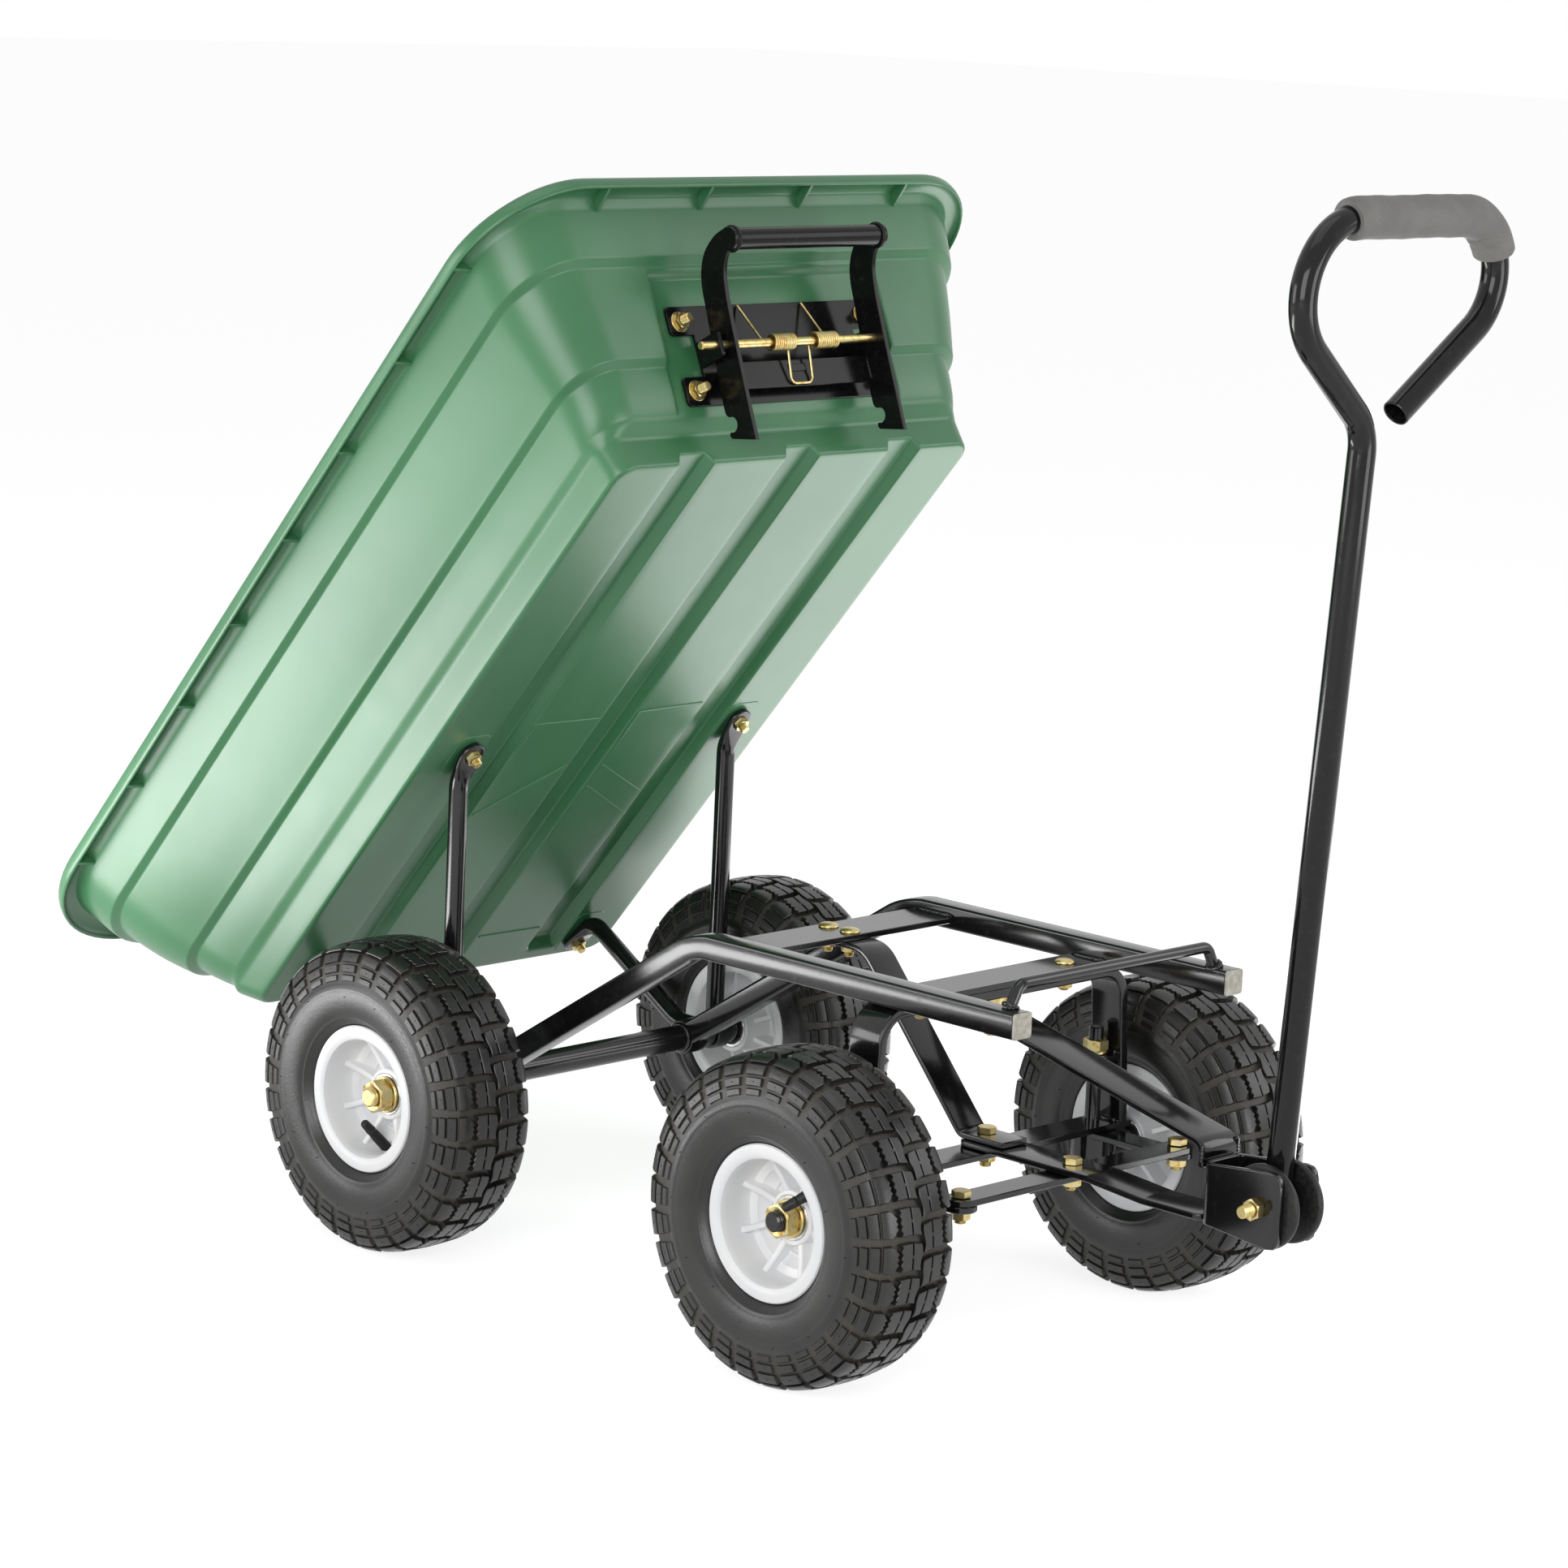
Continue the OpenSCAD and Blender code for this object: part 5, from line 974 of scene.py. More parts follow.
def tub():
    xs, ys = tub_net()
    shape = Shape()

    def notched(z, top, lift):
        """Height of a ring that starts in the grooves' mouths at the front."""
        return lambda y: z if y is None or z >= top else lift(y) + z * (top - lift(y)) / top

    def mouth(y, wider=0.0):
        return float(groove_lift(np.array(FLOOR_FRONT), np.array(y), wider))

    def ridge(y):
        return mouth(y, TUB_T)

    def inner(q, y):
        return wall_outline(q, y, INNER_RISE, TUB_T)

    def foot(low, top, lift, outline):
        """Rings of the rounded foot of a wall, from the floor up."""
        made = []
        for k in range(6):
            a = math.pi / 2 * k / 5
            z, out = low + EDGE_R * (1 - math.cos(a)), EDGE_R * (math.sin(a) - 1)
            made.append(tub_ring(xs, ys, notched(z, top, lift), lambda q, y: tuple(v + out for v in outline(q, y))))
        return made
    rows = foot(0, PAN_H, mouth, wall_outline)
    for z in WALL_ROWS:
        rows.append(tub_ring(xs, ys, notched(z, PAN_H, mouth), wall_outline))
    *top, radius = wall_outline(LIP_Z)
    for z, out in RIM_ROWS:
        lip = *(v + out * part for v, part in zip(top, LIP)), radius + out
        rows.append(tub_ring(xs, ys, lambda y: z, lambda q, y: lip))
    for z in WALL_ROWS[:0:-1]:
        q = z + INNER_RISE * min(z, RISE_FROM) / RISE_FROM
        rows.append(tub_ring(xs, ys, notched(q, PAN_H + INNER_RISE, ridge), inner))
    rows += foot(TUB_T, PAN_H + INNER_RISE, ridge, inner)[::-1]
    walls = np.array(rows)
    walls[..., 2] += FLOOR_Z
    shape.grid(walls, BED)
    for ring, inset, level, wider in ((walls[0], 0, 0, 0), (walls[-1], TUB_T, TUB_T, TUB_T)):
        net = tub_floor(xs, ys, EDGE_R + inset, level, wider)
        net[..., 2] += FLOOR_Z
        for (i, j), point in zip(edge_loop(len(xs), len(ys)), ring):
            net[i, j] = point
        shape.grid(net, BED, ring=False)
    tub_gussets(shape)
    tub_marks(shape)
    shape.piece("bed_tub_moulding", green, "bed", ["bed_tub"], "green_plastic", 42)


def tub_gussets(shape):
    front, side, rear, radius = (float(v) for v in wall_outline(LIP_Z))
    outline = np.array([(-3, 1.5), (5, 1.5), (13.5, 0.4), (19.5, -3), (22, -6.2), (21.8, -7.2), (20.6, -7.5),
                        (-3, -9.4), (-5.4, -9.4)])
    lip = lambda part: [(x * part if x > 0 else x, z) for x, z in outline]
    x0, x1 = -FLOOR_REAR - rear + radius + REAR_ROUND, FLOOR_FRONT + front - radius
    y = FLOOR_HALF + side
    stand = turn("X", 90) @ at(0, 0, -1.5)
    for i in range(8):
        for s in (1, -1):
            x = x0 + (x1 - x0) * i / 7
            spot = at(x, s * y * (1 + flare(x)), FLOOR_Z + LIP_Z) @ turn("Z", 90 * s)
            plate(shape, lip(LIP[1]), 3, BED @ spot @ stand, 0.4)
    for i in range(4):
        across = (y - radius - 30) * (2 * i / 3 - 1)
        for x, way, part in ((FLOOR_FRONT + front, 0, LIP[0]), (-FLOOR_REAR - rear, 180, LIP[2])):
            plate(shape, lip(part), 3, BED @ at(x, across, FLOOR_Z + LIP_Z) @ turn("Z", way) @ stand, 0.4)


def tub_marks(shape):
    """Low moulded lines and bolt pads on the underside of the floor."""
    lines = [[(132, -96), (186, -23)], [(216, -97), (249, -95), (247, -23)], [(215, 23), (249, 22), (251, 95)],
             [(180, 23), (134, 96)], [(152, 23), (104, 96)], [(-55, 23), (-56, 96)]]
    down = BED @ at(0, 0, FLOOR_Z)
    for line in lines:
        bar(shape, down, line, [1.5] * len(line), lambda i: box_section(2.2 - 2 * i, 1.8 - 2 * i, 0.6, 2), 0.4)
    for s in (1, -1):
        for x0, x1 in ((197, 243), (-101, -46)):
            pad = np.array(box_section(x1 - x0, 33, 7, 6)) + [(x0 + x1) / 2, s * SUPPORT_Y + s * 1.2]
            plate(shape, pad, 1.2, BED @ at(0, 0, FLOOR_Z - 0.5), 0.5)


tub()


# Frame
LEFT, RIGHT = turn("X", -90), turn("X", 90)
SIDES = (1, "left"), (-1, "right")


def painted(shape, name, body, node, finish=black):
    shape.piece(name, finish, body, [node], "black_paint")


def plated(shape, name, body, node):
    return shape.piece(name, zinc, body, [node], "yellow_zinc")


def bolts(name, body, node, places, *sizes):
    """Bolts of one kind as one piece; sizes are those of through_bolt."""
    shape = Shape()
    for place in places:
        through_bolt(shape, place, *sizes)
    plated(shape, name, body, node)


def rail(side, name):
    """Bent square tube; its bend is pinched a little, and a boss holds the rear axle."""
    shape = Shape()
    corners, radii = [(0, AXLE_Z), (RAIL_BEND, RAIL_MID), (RAIL_FRONT, RAIL_MID)], [0, 60, 0]
    bends = len(rounded(corners, radii)) - 3

    def pinched(i):
        dent = math.sin(math.pi * (i - 1) / bends) if 0 < i <= bends + 1 else 0
        return flat(RAIL_W - 1.6 * dent, RAIL_W + 0.9 * dent, 2.4)
    bar(shape, at(0, side * RAIL_Y, 0) @ SIDE, corners, radii, None, 0.5, sections=pinched)
    washer(shape, at(0, side * RAIL_Y - RAIL_W / 2, AXLE_Z) @ LEFT, 30, AXLE_R + 0.2, RAIL_W)
    painted(shape, name + "_tube", "frame", name)


def rail_plugs():
    shape = Shape()
    rings = [(RAIL_W - 0.6, 2, 0.1), (RAIL_W, 2.3, 0.4), (RAIL_W, 2.3, 1.5), (RAIL_W - 1.2, 2, 2.1),
             (14.2, 4, 2.1), (12.6, 3.6, 1.5), (11.4, 3.2, 0.9), (6, 3, 0.8)]
    for side in (1, -1):
        rows = [np.c_[box_section(w, w, r, 6), np.full(28, x)] for w, r, x in rings]
        shape.grid(rows, at(RAIL_FRONT, side * RAIL_Y, RAIL_MID) @ FRONT, caps=True)
    shape.piece("rail_end_plugs", cream, "frame", ["rail_plugs"], "off_white_plastic")


def cross_plate(name, x, w, top):
    shape = Shape()
    y = RAIL_INSIDE
    plate(shape, oblong(x - w / 2, x + w / 2, -y, y), BAR_T, at(0, 0, top - BAR_T))
    for side in (1, -1):
        for z, a, b in ((top + 0.3, 0.46, 0.44), (top - BAR_T - 0.3, 0.4, 0.42)):
            weld(shape, [(x - a * w, side * (y - 0.8), z), (x + b * w, side * (y - 0.8), z)], 2.1)
    painted(shape, name + "_steel", "frame", name)


def rear_axle():
    shape = Shape()
    shank(shape, at(0, 0, AXLE_Z) @ LEFT, 2 * AXLE_R, -222, 222)
    for way in (LEFT, RIGHT):
        thread(shape, at(0, 0, AXLE_Z) @ way, 2 * AXLE_R, 221.5, REAR_SEAT + AXLE_END, 1)
    shape.piece("rear_axle_shaft", [steel, zinc], "frame", ["rear_axle"], "bright_steel")
    shape = Shape()
    washer(shape, at(0, -RAIL_INSIDE, AXLE_Z) @ LEFT, 22, AXLE_R + 0.1, 2 * RAIL_INSIDE)
    for way in (LEFT, RIGHT):
        weld(shape, ring_points(11.2, z=RAIL_INSIDE - 0.8), 2.1, at(0, 0, AXLE_Z) @ way, loop=True)
    painted(shape, "rear_axle_sleeve", "frame", "rear_axle_tube")
    shape = Shape()
    for way in (LEFT, RIGHT):
        for y, w in ((133.1, 12.6), (162.3, 10.9)):
            washer(shape, at(0, 0, AXLE_Z) @ way @ at(0, 0, y), 25, AXLE_R + 0.1, w)
    painted(shape, "rear_axle_spacers", "frame", "rear_axle_collars")
    shape = Shape()
    for way in (LEFT, RIGHT):
        hub_nut(shape, at(0, 0, AXLE_Z) @ way @ at(0, 0, REAR_SEAT))
    plated(shape, "rear_hub_nuts", "frame", "rear_axle_nuts")


def hub_nut(shape, place):
    washer(shape, place, 30.4, AXLE_R + 0.2, 2.5)
    nut(shape, place @ at(0, 0, 2.5), 2 * AXLE_R, 12.8)


def front_arch():
    shape = Shape()
    foot = 147.1
    bar(shape, at(WHEELBASE, 0, 0) @ FRONT, [(-foot, 151.1), (-138.5, 278.5), (138.5, 278.5), (foot, 151.1)],
        [0, 24, 24, 0], flat(ARCH_T, ARCH_W, 1.6), 0.4)
    for side in (1, -1):
        for y in (foot - 4.8, foot + 4.6):
            weld(shape, [(451, side * y, 151.4), (480.5, side * y, 151.4)], 2.3)
        weld(shape, [(451.5, side * 139, 208.6), (480.5, side * 139, 208.6)], 2.2)
    painted(shape, "front_arch_bar", "frame", "front_arch")
    bolts("arch_dome_bolts", "frame", "arch_bolts", [at(WHEELBASE, y, FRONT_PLATE_TOP) for y in (83, -83)],
          8, 14, dome_head)
    shape = Shape()
    plate(shape, oblong(*FRONT_BAR, -156.5, 156.5), BAR_T, at(0, 0, CROSS_LOW))
    painted(shape, "lower_bar_steel", "frame", "lower_cross_bar")
    shape = Shape()
    for y in (111, -138.6):
        plate(shape, oblong(*FRONT_BAR, y, y + 27.6), BAR_T, at(0, 0, BRACKET_LOW))
    painted(shape, "kingpin_ledges", "frame", "kingpin_brackets")


def stay_strap():
    shape = Shape()
    bar(shape, SIDE, [(273, 287.4), (336, 287.4), (450, 159.1), (496, 159.1)], [0, 28, 10, 0],
        flat(BAR_T, BAR_W))
    painted(shape, "stay_strap_bar", "frame", "stay_strap")
    bolts("stay_dome_bolts", "frame", "stay_bolts", [at(x, 0, PLATE_TOP) for x in (284, 308)], 8, 10.1,
          dome_head, 2)


def latch_rod():
    shape = Shape()
    bar(shape, at(ROD_X, 0, 0) @ FRONT, [(-118.1, 303.1), (-109, 320.1), (109, 320.1), (118.1, 303.1)],
        [0, 10, 10, 0], round_bar(9), 0.3)
    for side in (1, -1):
        weld(shape, ring_points(5.2, 24), 2.2, at(ROD_X, side * 117.8, 304.2) @ turn("X", side * 28), loop=True)
        weld(shape, ring_points(3.4, 20), 2.4, at(ROD_X + 1, side * 119.8, 304), loop=True)
    painted(shape, "latch_rod_bar", "frame", "latch_rod")


def steering_pivots():
    shape = Shape()
    through_bolt(shape, at(WHEELBASE, 0, FOOT_TOP), 9.2, 15.6, hex_head, 2)
    under = at(WHEELBASE, 0, 253.2) @ turn("X", 180)
    nut(shape, under, 12, 9)
    thread(shape, under, 12, 8.6, 12)
    shank(shape, at(WHEELBASE, 0, 0), 12, 253, 273.9)
    washer(shape, at(WHEELBASE, 0, 258.8), 24, 6.1, 15.1)
    plated(shape, "steering_pivot_bolts", "frame", "steering_pivots")


for side, word in SIDES:
    rail(side, "rail_" + word)
rail_plugs()
cross_plate("rear_cross_plate", REAR_PLATE_X, 46, PLATE_TOP)
cross_plate("front_cross_plate", WHEELBASE, 40, FRONT_PLATE_TOP)
rear_axle()
front_arch()
stay_strap()
latch_rod()
steering_pivots()


# Steering
DRAWBAR_W, DRAWBAR_REAR, DRAWBAR_FRONT, STRAP_W = 38, 451, 701.9, 41
TIE_BOLT = 9, 10.6, hex_head, 1


def drawbar():
    shape = Shape()
    way = rounded([(DRAWBAR_REAR, 153.8), (586, 153.8), (642, 148.8), (DRAWBAR_FRONT, 148.8)], [0, 28, 28, 0])
    rows = []
    for x, z, _, a in spaced([(*q, 0, a) for q, a in way], 1.5):
        corner = max(0.0, 1 - min(x - DRAWBAR_REAR, DRAWBAR_FRONT - x) / 9)
        w = DRAWBAR_W - 18 * (1 - math.sqrt(1 - corner ** 2))
        rows.append(section_row((x, z), a, box_section(BAR_T, w, 1.2)))
    shape.grid(rows, SIDE, caps=True)
    for z in (DRAWBAR_TOP - 5.2, 146.1):
        weld(shape, [(701.2, -9, z), (701.2, 9, z)], 2.3)
    painted(shape, "drawbar_flat_bar", "drawbar", "drawbar_bar")
    shape = Shape()
    bar(shape, SIDE, [(450, 256), (485.2, 256), (699.4, 206), (699.4, 188)], [0, 28, 10, 0],
        flat(BAR_T, STRAP_W))
    for y in (-STRAP_W / 2, STRAP_W / 2):
        weld(shape, [(700.5, y, 192), (700.5, y * 0.96, 207)], 2.2)
    painted(shape, "drawbar_upper_strap", "drawbar", "drawbar_strap")


def clevis():
    """Fork of one bent strip, with rounded front edges."""
    shape = Shape()
    half, front, rows = 20.4, 778, []
    edge = [(0, 40), (1.5, 51), (4.5, 57), (11, 59)]
    path = rounded([(front, -half), (CLEVIS_X + 2.5, -half), (CLEVIS_X + 2.5, half), (front, half)],
                   [0, 7, 7, 0])
    stops = [((front - d, -half), math.pi, h) for d, h in edge]
    stops += [(point, angle, 48) for point, angle in path[1:-1]]
    stops += [((front - d, half), 0, h) for d, h in edge[::-1]]
    for point, angle, h in stops:
        rows.append(section_row(point, angle, box_section(BAR_T, h, 1.2)))
    shape.grid(rows, at(0, 0, PIVOT_Z), caps=True)
    painted(shape, "clevis_fork", "drawbar", "clevis")
    bolts("handle_pivot_bolt", "drawbar", "clevis_bolt", [at(PIVOT_X, 22.9, PIVOT_Z) @ LEFT], 10, 45.8, hex_head, 8)
    bolts("centre_tie_hex_bolt", "drawbar", "centre_tie_bolt", [at(TIE_X, 0, DRAWBAR_TOP)], *TIE_BOLT)
    shape = Shape()
    plate(shape, link((TIE_X, -KINGPIN_Y), (TIE_X, KINGPIN_Y), 25), BAR_T, at(0, 0, CROSS_LOW))
    painted(shape, "tie_bar_link", "tie_bar", "tie_bar")


def knuckle(side, name):
    y = side * KINGPIN_Y
    out = at(WHEELBASE, 0, AXLE_Z) @ (LEFT if side > 0 else RIGHT)
    shape = Shape()
    shape.turned([(0, 112.6), (4, 112.6), (6, 114), (6, 229), (5, 230), (0, 230)], at(WHEELBASE, y, 0), 28)
    shape.turned([(6, 114), (15, 114), (16, 115), (16, 144.7), (15, 145.7), (6, 145.7)],
                 at(WHEELBASE, y, 0), 40)
    washer(shape, out @ at(0, 0, KINGPIN_Y), 24, 2, 41.7)
    weld(shape, ring_points(12.2, z=141.8), 2.2, out, loop=True)
    shank(shape, out, 2 * AXLE_R, KINGPIN_Y, 217)
    thread(shape, out, 2 * AXLE_R, 216.5, FRONT_SEAT + AXLE_END)
    plate(shape, link((WHEELBASE, y), (TIE_X, y), 25), BAR_T, at(0, 0, ARM_LOW))
    painted(shape, name + "_stub_axle", name, name)
    shape = Shape()
    washer(shape, at(WHEELBASE, y, 208.3), 19.2, 6.1, 2.5)
    nut(shape, at(WHEELBASE, y, 210.8), 12, 9)
    hub_nut(shape, out @ at(0, 0, FRONT_SEAT))
    through_bolt(shape, at(TIE_X, y, 151.3), *TIE_BOLT)
    plated(shape, name + "_fasteners", name, name.replace("knuckle", "knuckle_hardware"))


drawbar()
clevis()
for side, word in SIDES:
    knuckle(side, "knuckle_" + word)


# Handle
def run(start, angle, lens, turns, radii, step=5):
    """Points, headings and depth of bend along the middle line of a bent tube."""
    p, out = np.array(start, float), [(np.array(start, float), angle, 0.0)]
    for i, length in enumerate(lens):
        p = p + length * along(angle)
        if i == len(turns):
            out.append((p, angle, 0.0))
            break
        t = math.radians(turns[i])
        arm = math.copysign(radii[i], t)
        centre, n = p + arm * along(angle + math.pi / 2), math.ceil(abs(turns[i]) / step)
        for k in range(n + 1):
            a = angle + t * k / n
            out.append((centre - arm * along(a + math.pi / 2), a, math.sin(math.pi * k / n)))
        p, angle = out[-1][0], angle + t
    return out


def tube_row(point, angle, r, squash=0.0, n=32):
    a = circle(n)
    return section_row(point, angle, np.stack([(1 - squash) * r * np.cos(a), r * np.sin(a)], 1))


HANDLE_RUN = [582, 69, 121, 100], [50, -140, -144], [40, 53.5, 46]


def handle_tube():
    shape = Shape()
    r, bore = HANDLE_D / 2, HANDLE_D / 2 - 1.6
    path = run((0, -18), math.pi / 2, *HANDLE_RUN)
    rows = [tube_row(path[0][0] + (0, up), path[0][1], r - less) for up, less in ((0, 3), (1, 1.2), (3, 0))]
    rows += [tube_row(p, a, r, 0.07 * bend) for p, a, bend in path[1:-1]]
    end, a = path[-1][:2]
    rows += [tube_row(end - back * along(a), a, size)
             for back, size in ((0.5, r), (0, r - 0.4), (0, bore + 0.3), (0.4, bore), (70, bore))]
    shape.grid(rows, HANDLE, caps=True)
    painted(shape, "handle_bent_tube", "handle", "handle_tube", tube_black_shaded)


def handle_discs():
    shape = Shape()
    r, t = 32.5, 7
    edge = [(r - 2.6, 0), (r - 1, 0.5), (r - 0.2, 1.7), (r, 3), (r, 4), (r - 0.2, 5.3), (r - 1, 6.5), (r - 2.6, t)]
    for way in (LEFT, RIGHT):
        shape.turned([(5.2, 0), *edge, (15, t), (14, t - 0.7), (5.2, t - 0.7)],
                     at(PIVOT_X, 0, PIVOT_Z) @ way @ at(0, 0, 10.6), 72, closed=True)
    shape.piece("handle_friction_discs", trim, "handle", ["handle_discs"], "black_plastic")


def handle_grip():
    """Foam sleeve; it stops in both bends, creases in the tighter one and is soft at its ends."""
    lens, turns, radii = HANDLE_RUN
    p, angle, _ = run((0, -18), math.pi / 2, lens[:2] + [0], turns[:2], radii[:2])[-1]
    centre = p - radii[1] * along(angle + math.pi / 2)
    first = angle + math.radians(13)
    path = run(centre + radii[1] * along(first + math.pi / 2), first, [0, lens[2], 0], [-13, -68],
               radii[1:], 3)[1:-1]
    path = spaced([(*q, 0, a, bend) for q, a, bend in path], 2.5)
    gone = lengths(path[:, :2])
    length = gone[-1]
    n, shape, outer, inner = 40, Shape(), [], []
    a = circle(n)
    for (x, y, _, angle, bend), s in zip(path, gone):
        near = min(s, length - s)
        r = FOAM_D / 2 - 1.6 * max(0, 1 - near / 3.5) ** 2
        tail = smooth_rise(s, length - 62, length - 40, 6)
        left = length - s
        crease = 1.7 * math.exp(-((left - 31) / 2.4) ** 2) + 1.2 * math.exp(-((left - 17) / 2.2) ** 2)
        fold = np.clip(-np.cos(a), 0, 1) * (0.5 * tail - crease)
        lump = 0.18 * np.sin(3 * a + s * 0.09) + 0.14 * math.sin(s * 0.23)
        size = r + fold + lump * min(1, near / 8)
        outer.append(section_row((x, y), angle, np.stack([size * np.cos(a), size * np.sin(a)], 1)))
        inner.append(tube_row((x, y), angle, HANDLE_D / 2 + 0.05, n=n))
    lip = [[row + (face - row) * u for u in (0.12, 0.5)] for row, face in
           ((inner[0], outer[0]), (inner[-1], outer[-1]))]
    shape.grid(lip[0] + outer + lip[1][::-1] + inner[::-1], HANDLE, loop=True)
    piece = shape.piece("handle_foam_sleeve", foam, "handle", ["handle_grip"], "grip_foam", sharp=60)


handle_tube()
handle_discs()
handle_grip()


# Supports of the tub
def support(side, name):
    """Bent round bars, beaten flat where they are bolted under the floor."""
    shape = Shape()
    place = BED @ at(0, side * SUPPORT_Y, 0) @ SIDE
    for corners, radii in (([(0, 130), (196, 294.5), (236, 300.9)], [0, 26, 0]),
                           ([(0, 130), (-29.4, 164.6), (-50.6, 295.5), (-94, 300.9)], [0, 32, 14, 0])):
        path = spaced([(*q, 0, a) for q, a in rounded(corners, radii)], 3)
        left = lengths(path[::-1, :2])[::-1]
        rows = []
        for (x, y, _, a), rest in zip(path, left):
            f = 1 - float(smooth_rise(rest, 20, 38, 4))
            w = 16 + 8 * f
            if rest < 12:
                w = max(5, 2 * math.sqrt(max(0.0, 144 - (12 - rest) ** 2)))
            t = 16 - 11 * f
            rows.append(section_row((x, y), a, box_section(t, w, min(t, w) / 2 - 0.3 * f, 6)))
        shape.grid(rows, place, caps=True)
    washer(shape, BED @ at(0, side * SUPPORT_Y - 8, AXLE_Z) @ LEFT, 30, AXLE_R + 0.1, 16)
    painted(shape, name + "_bar", "bed", name)


for side, word in SIDES:
    support(side, "support_" + word)
bolts("support_dome_bolts", "bed", "support_bolts",
      [BED @ at(x, side * SUPPORT_Y, FLOOR_Z + TUB_T) for x in (224, -82) for side, _ in SIDES], 8, 9.1,
      dome_head, 3)


# Latch; across the wall the local axes are out of the wall, to the left and up it
GRIP, HOOK = (31, 76.5), (-16, -61)


def latch_bracket():
    shape = Shape()
    half, wide, ear = 41, 114, 17.2
    quarter = [(89.9, 0), (89.9, ear)] + round_points(wide - 4, ear + 4, 4, -90, 0, 4) \
        + round_points(wide - 4, half - 4, 4, 0, 90, 4)
    top = quarter[1:] + [(-y, u) for y, u in quarter[:0:-1]]
    plate(shape, top + [(y, -u) for y, u in top[::-1]], 3, PIN @ at(-30.4, 0, 0) @ FRONT, 0.4)
    for y in (89.9, -86.9):
        tab = [(-29, -10.5), *round_points(4, -7.5, 3, -90, 0, 4), *round_points(4, 7.5, 3, 0, 90, 4), (-29, 10.5)]
        splay = turn("Z", 12) if y < 0 else np.eye(4)
        plate(shape, tab, 3, PIN @ at(-29, y, 0) @ splay.T @ at(29, 0, 0) @ SIDE, 0.4)
    painted(shape, "latch_bracket_sheet", "bed", "latch_bracket", latch_black_shaded)
    shape = Shape()
    for y in (103, -103):
        for u in (28.06, -28.67):
            through_bolt(shape, PIN @ at(-34.7, y, u) @ turn("Y", -90), 8, 7.3, dome_head, 6)
            washer(shape, PIN @ at(-27.4, y, u) @ turn("Y", 90), 17, 4.2, 1.4)
    plated(shape, "latch_bracket_fasteners", "bed", "latch_bracket_bolts")
    shape = Shape()
    shape.turned([(0, -113.9), (2.6, -113.9), (3.5, -112.8), (3.5, 91.2), (2.6, 92.3), (0, 92.3)], PIN @ LEFT, 28)
    plated(shape, "latch_pin_bar", "bed", "latch_pin")


def latch_lever():
    shape = Shape()
    front = curve_through([(6.5, -80.5), (9.2, -29.4), (12.7, 22), (15.5, 43.1), (17.8, 53), (21.8, 61.5),
                           (27.4, 67.6)])
    back = curve_through([(27.7, 85.6), (18, 84.3), (8.3, 80), (1.5, 75), (-4, 67.8), (-8.1, 59),
                          (-10.6, 47.8), (-12, 33), (-15.6, -2), (-19.2, -36), (-19.7, -50.8)])
    edge = front + round_points(*GRIP, 9.6, 252, 466, 18) + back + [(-18.8, -53)] \
        + round_points(*HOOK, 6.3, 96, -122, 14) + [(-20.4, -67.4), (-20.7, -69.6), (-19, -71.8)]
    for y in (LEVER_Y, -LEVER_Y + 4):
        plate(shape, edge, 4, PIN @ at(0, y, 0) @ SIDE, 0.5)
    plate(shape, oblong(-82.2, 82.2, -33, -11), 3, PIN @ at(-16.5, 0, 0) @ FRONT, 0.4)
    plate(shape, oblong(-9, 9, -21, -15), 1.6, PIN @ at(-13.7, 0, 0) @ FRONT, 0.4)
    for y in (81.3, -81.3):
        weld(shape, [(-13, y, -31), (-13, y, -12)], 2, PIN)
        weld(shape, [(n, y, u) for n, u in round_points(*GRIP, 9.2, 0, 360, 49)], 1.9, PIN, loop=True)
    painted(shape, "latch_lever_plates", "latch", "latch_lever", latch_black_shaded)
    shape = Shape()
    r = 8.75
    shape.turned([(5.1, -81.9), (r - 0.6, -81.9), (r, -81.3), (r, 81.3), (r - 0.6, 81.9), (5.1, 81.9)],
                 PIN @ at(GRIP[0], 0, GRIP[1]) @ LEFT, 36, closed=True)
    painted(shape, "latch_grip_tube", "latch", "latch_grip", latch_black_shaded)


def latch_spring():
    """One wire: a leg on the bracket, a coil round the pin, a loop on the lever and the same again."""
    r, turns, inner, outer = 6, 10, 12, 36
    top, low = np.array([-26.1, 39.4]), np.array([-11.9, -31.1])
    meet = math.atan2(top[1], top[0]) + math.acos(r / np.linalg.norm(top))
    leave = 2 * math.pi + math.atan2(low[1], low[0]) - math.acos(r / np.linalg.norm(low))
    half = [(*(top + (r * along(meet) - top) * u), outer) for u in np.linspace(0, 1, 8)[:-1]]
    for i in range(turns * 20 + 1):
        u = i / (turns * 20)
        half.append((*(r * along(meet + (2 * math.pi * turns + leave - meet) * u)), outer + (inner - outer) * u))
    start = r * along(leave)
    length = np.linalg.norm(low - start)
    way = (low - start) / length
    half += [(*(start + way * s), inner) for s in np.linspace(0, length - 5, 8)[1:]]
    half += [(*(low - way * (5 - 5 * math.sin(t))), inner - 5 + 5 * math.cos(t))
             for t in np.linspace(0, math.pi / 2, 7)[1:]]
    points = [(n, y, u) for n, u, y in half]
    points += [(n, -y, u) for n, y, u in points[::-1]]
    shape = Shape()
    wire(shape, points, 1.08, PIN)
    piece = plated(shape, "latch_spring_wire", None, "latch_spring")
    tuple(moved(PIN, [0, 0, 8]) * MM)
    tuple(moved(PIN, [0, 0, -8]) * MM)
    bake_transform(piece)


latch_bracket()
latch_lever()
latch_spring()


# Floor, light and camera
def linked(tree, kind, *sources):
    """A new node whose first inputs come from sources."""
    made = tree.nodes.new(kind)
    for socket, source in zip(made.inputs, sources):
        tree.links.new(source, socket)
    return made


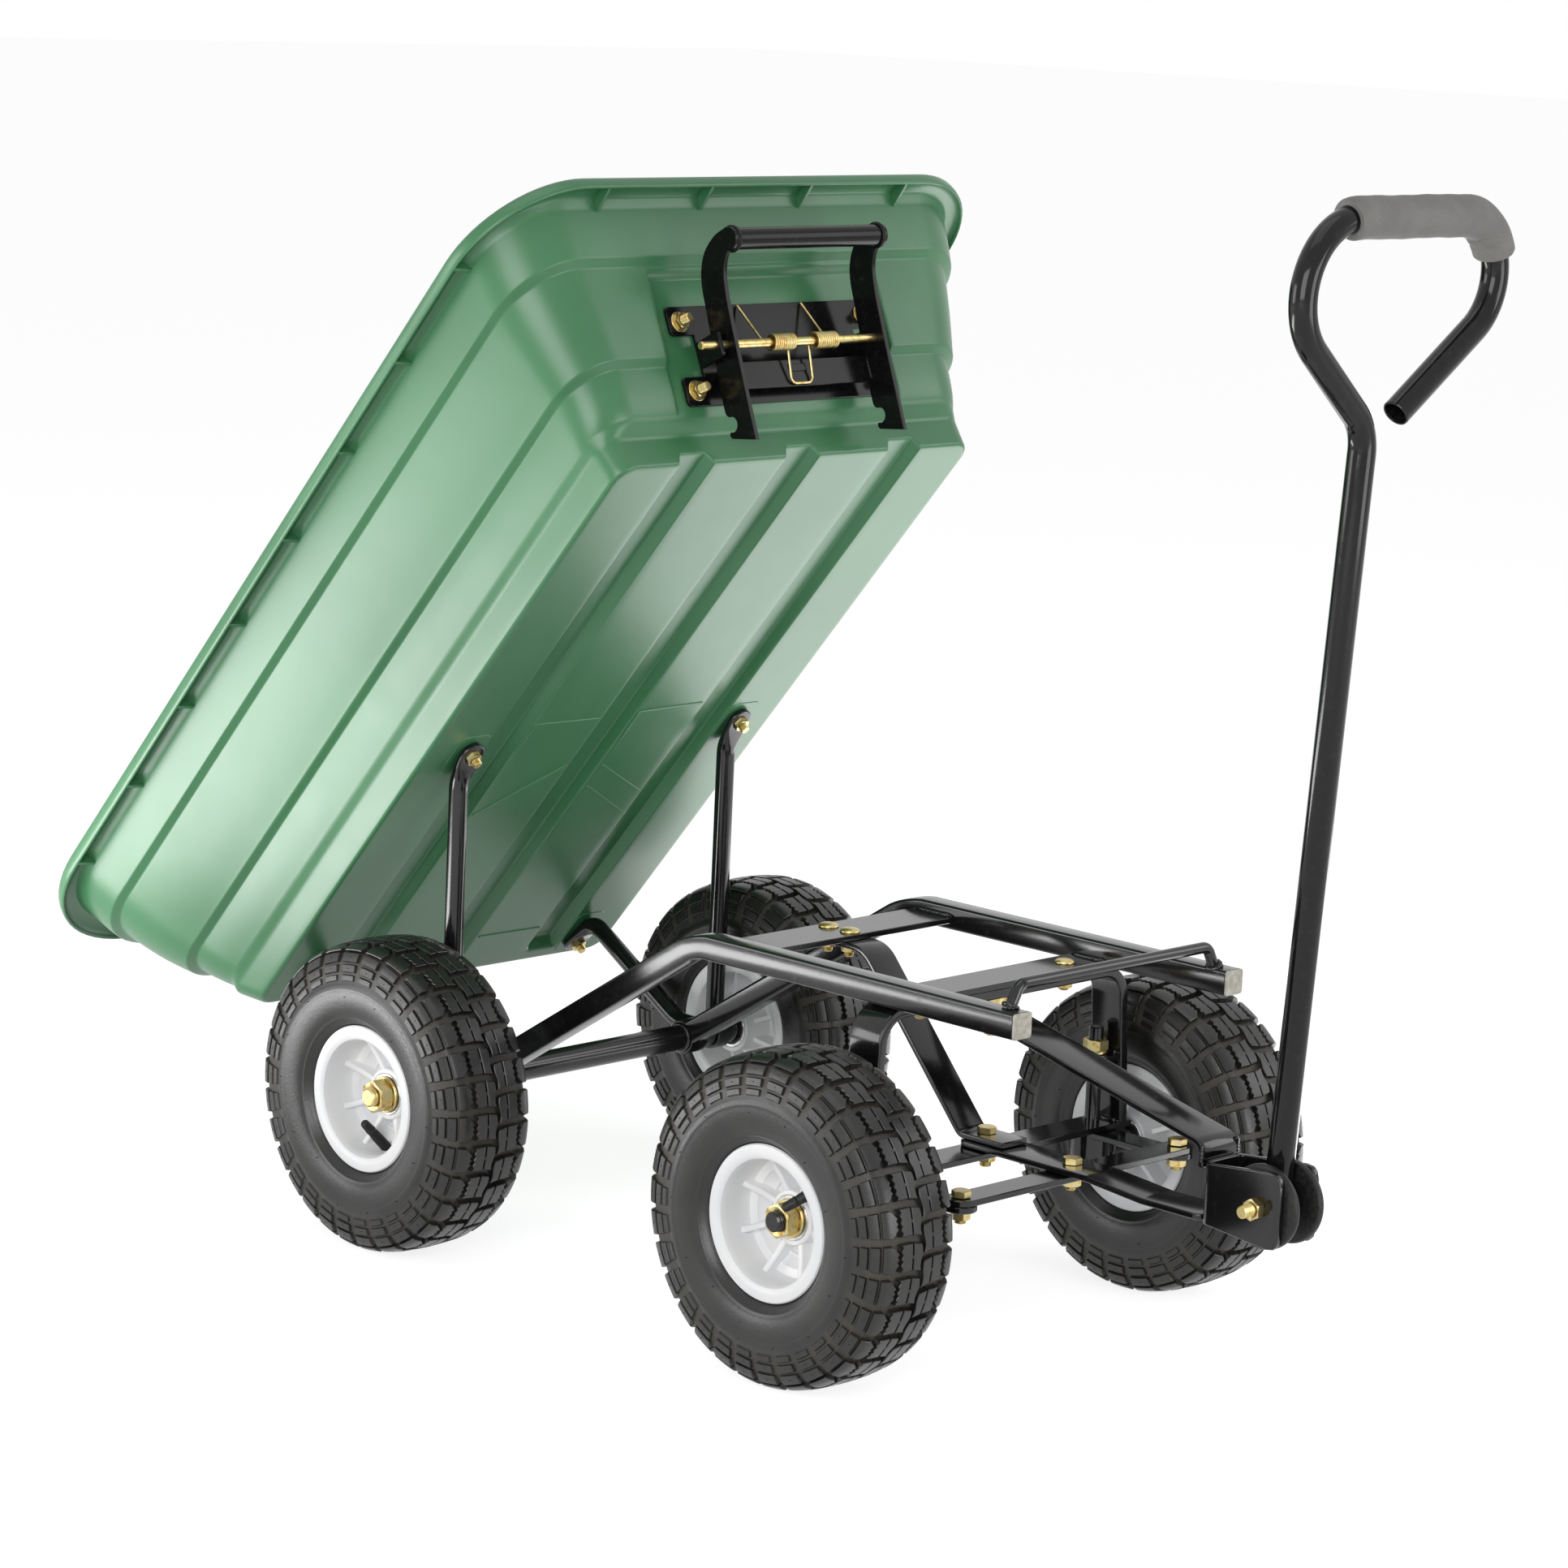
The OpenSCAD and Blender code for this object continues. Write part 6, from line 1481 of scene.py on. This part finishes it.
def seen_rays(tree):
    """1 for the rays that show the background: the camera's own, and those off metal or through glass."""
    path = tree.nodes.new("ShaderNodeLightPath")
    share = path.outputs["Is Camera Ray"]
    for ray in ("Is Glossy Ray", "Is Transmission Ray"):
        either = linked(tree, "ShaderNodeMath", share, path.outputs[ray])
        either.operation = "MAXIMUM"
        share = either.outputs[0]
    return share


def floor_finish():
    """Pale floor; to the camera it is white, apart from the shadow that it takes."""
    made = bpy.data.materials.new("pale_floor")
    made.use_nodes = True
    tree = made.node_tree
    tree.nodes.clear()
    plain = tree.nodes.new("ShaderNodeBsdfDiffuse")
    plain.inputs["Color"].default_value = (0.62, 0.62, 0.62, 1)
    glow = tree.nodes.new("ShaderNodeEmission")
    glow.inputs["Strength"].default_value = 0.8
    both = linked(tree, "ShaderNodeAddShader", plain.outputs[0], glow.outputs[0])
    pick = linked(tree, "ShaderNodeMixShader", seen_rays(tree), plain.outputs[0], both.outputs[0])
    linked(tree, "ShaderNodeOutputMaterial", pick.outputs[0])
    return made


def floor():
    size = 30.0
    mesh = bpy.data.meshes.new("floor")
    mesh.from_pydata([(x, y, 0) for x, y in oblong(-size, size, -size, size)], [], [(0, 1, 2, 3)])
    mesh.materials.append(floor_finish())
    made = bpy.data.objects.new("floor", mesh)
    bpy.context.scene.collection.objects.link(made)


def lamp(name, spot, aim, size, power, tall=None):
    data = bpy.data.lights.new(name, "AREA")
    data.shape, data.size, data.size_y, data.energy = "RECTANGLE", size, tall or size, power
    made = bpy.data.objects.new(name, data)
    made.location = spot
    made.visible_camera = False
    way = np.array(aim, float) - np.array(spot, float)
    made.rotation_euler = Vector(way).to_track_quat("-Z", "Y").to_euler()
    bpy.context.scene.collection.objects.link(made)


def studio():
    world = bpy.data.worlds.new("studio")
    world.use_nodes = True
    tree = world.node_tree
    tree.nodes.clear()
    strength = linked(tree, "ShaderNodeMapRange", seen_rays(tree))
    strength.inputs["To Min"].default_value = 0.28
    strength.inputs["To Max"].default_value = 1.0
    back = tree.nodes.new("ShaderNodeBackground")
    back.inputs["Color"].default_value = (1, 1, 1, 1)
    tree.links.new(strength.outputs[0], back.inputs["Strength"])
    linked(tree, "ShaderNodeOutputWorld", back.outputs[0])
    bpy.context.scene.world = world
    lamp("left", (-1.7, -2.7, 0.75), (0.0, 0, 0.45), 1.5, 25, 1.1)
    lamp("low_left", (-0.6, -1.0, 0.05), (-0.6, -0.999, 1), 0.6, 20, 0.9)
    lamp("low_far", (0.3, 0.85, 0.05), (0.3, 0.851, 1), 1.0, 8)
    lamp("right", (2.3, 2.3, 1.6), (0.2, 0, 0.5), 1.2, 15, 1.6)
    lamp("front", (2.0, -3.2, 1.2), (0.2, 0, 0.4), 2.0, 66)
    lamp("ahead", (3.0, 0.5, 0.5), (0.2, 0, 0.5), 1.2, 22)
    lamp("top", (0.4, -0.6, 3.2), (0.2, 0, 0.3), 2.0, 11)


def camera():
    """The view of the photograph, found from the wheels, the rails and the handle."""
    azimuth, rise, roll = math.radians(44.61), math.radians(10.46), math.radians(-2.24)
    back = np.array([math.sin(azimuth) * math.cos(rise), -math.cos(azimuth) * math.cos(rise), math.sin(rise)])
    right = np.array([math.cos(azimuth), math.sin(azimuth), 0])
    down = np.cross(-back, right)
    c, s = math.cos(roll), math.sin(roll)
    right, down = c * right + s * down, -s * right + c * down
    aim, far = np.array([227.6, -0.7, 403.4]), 3714.7
    place = np.eye(4)
    place[:3, 0], place[:3, 1], place[:3, 2] = right, -down, back
    place[:3, 3] = (aim + back * far) * MM
    data = bpy.data.cameras.new("camera")
    data.sensor_width, data.lens = 36, 104.85
    made = bpy.data.objects.new("camera", data)
    made.matrix_world = Matrix(place)
    bpy.context.scene.collection.objects.link(made)
    bpy.context.scene.camera = made


floor()
studio()
camera()
bpy.context.scene.view_settings.view_transform = "Standard"
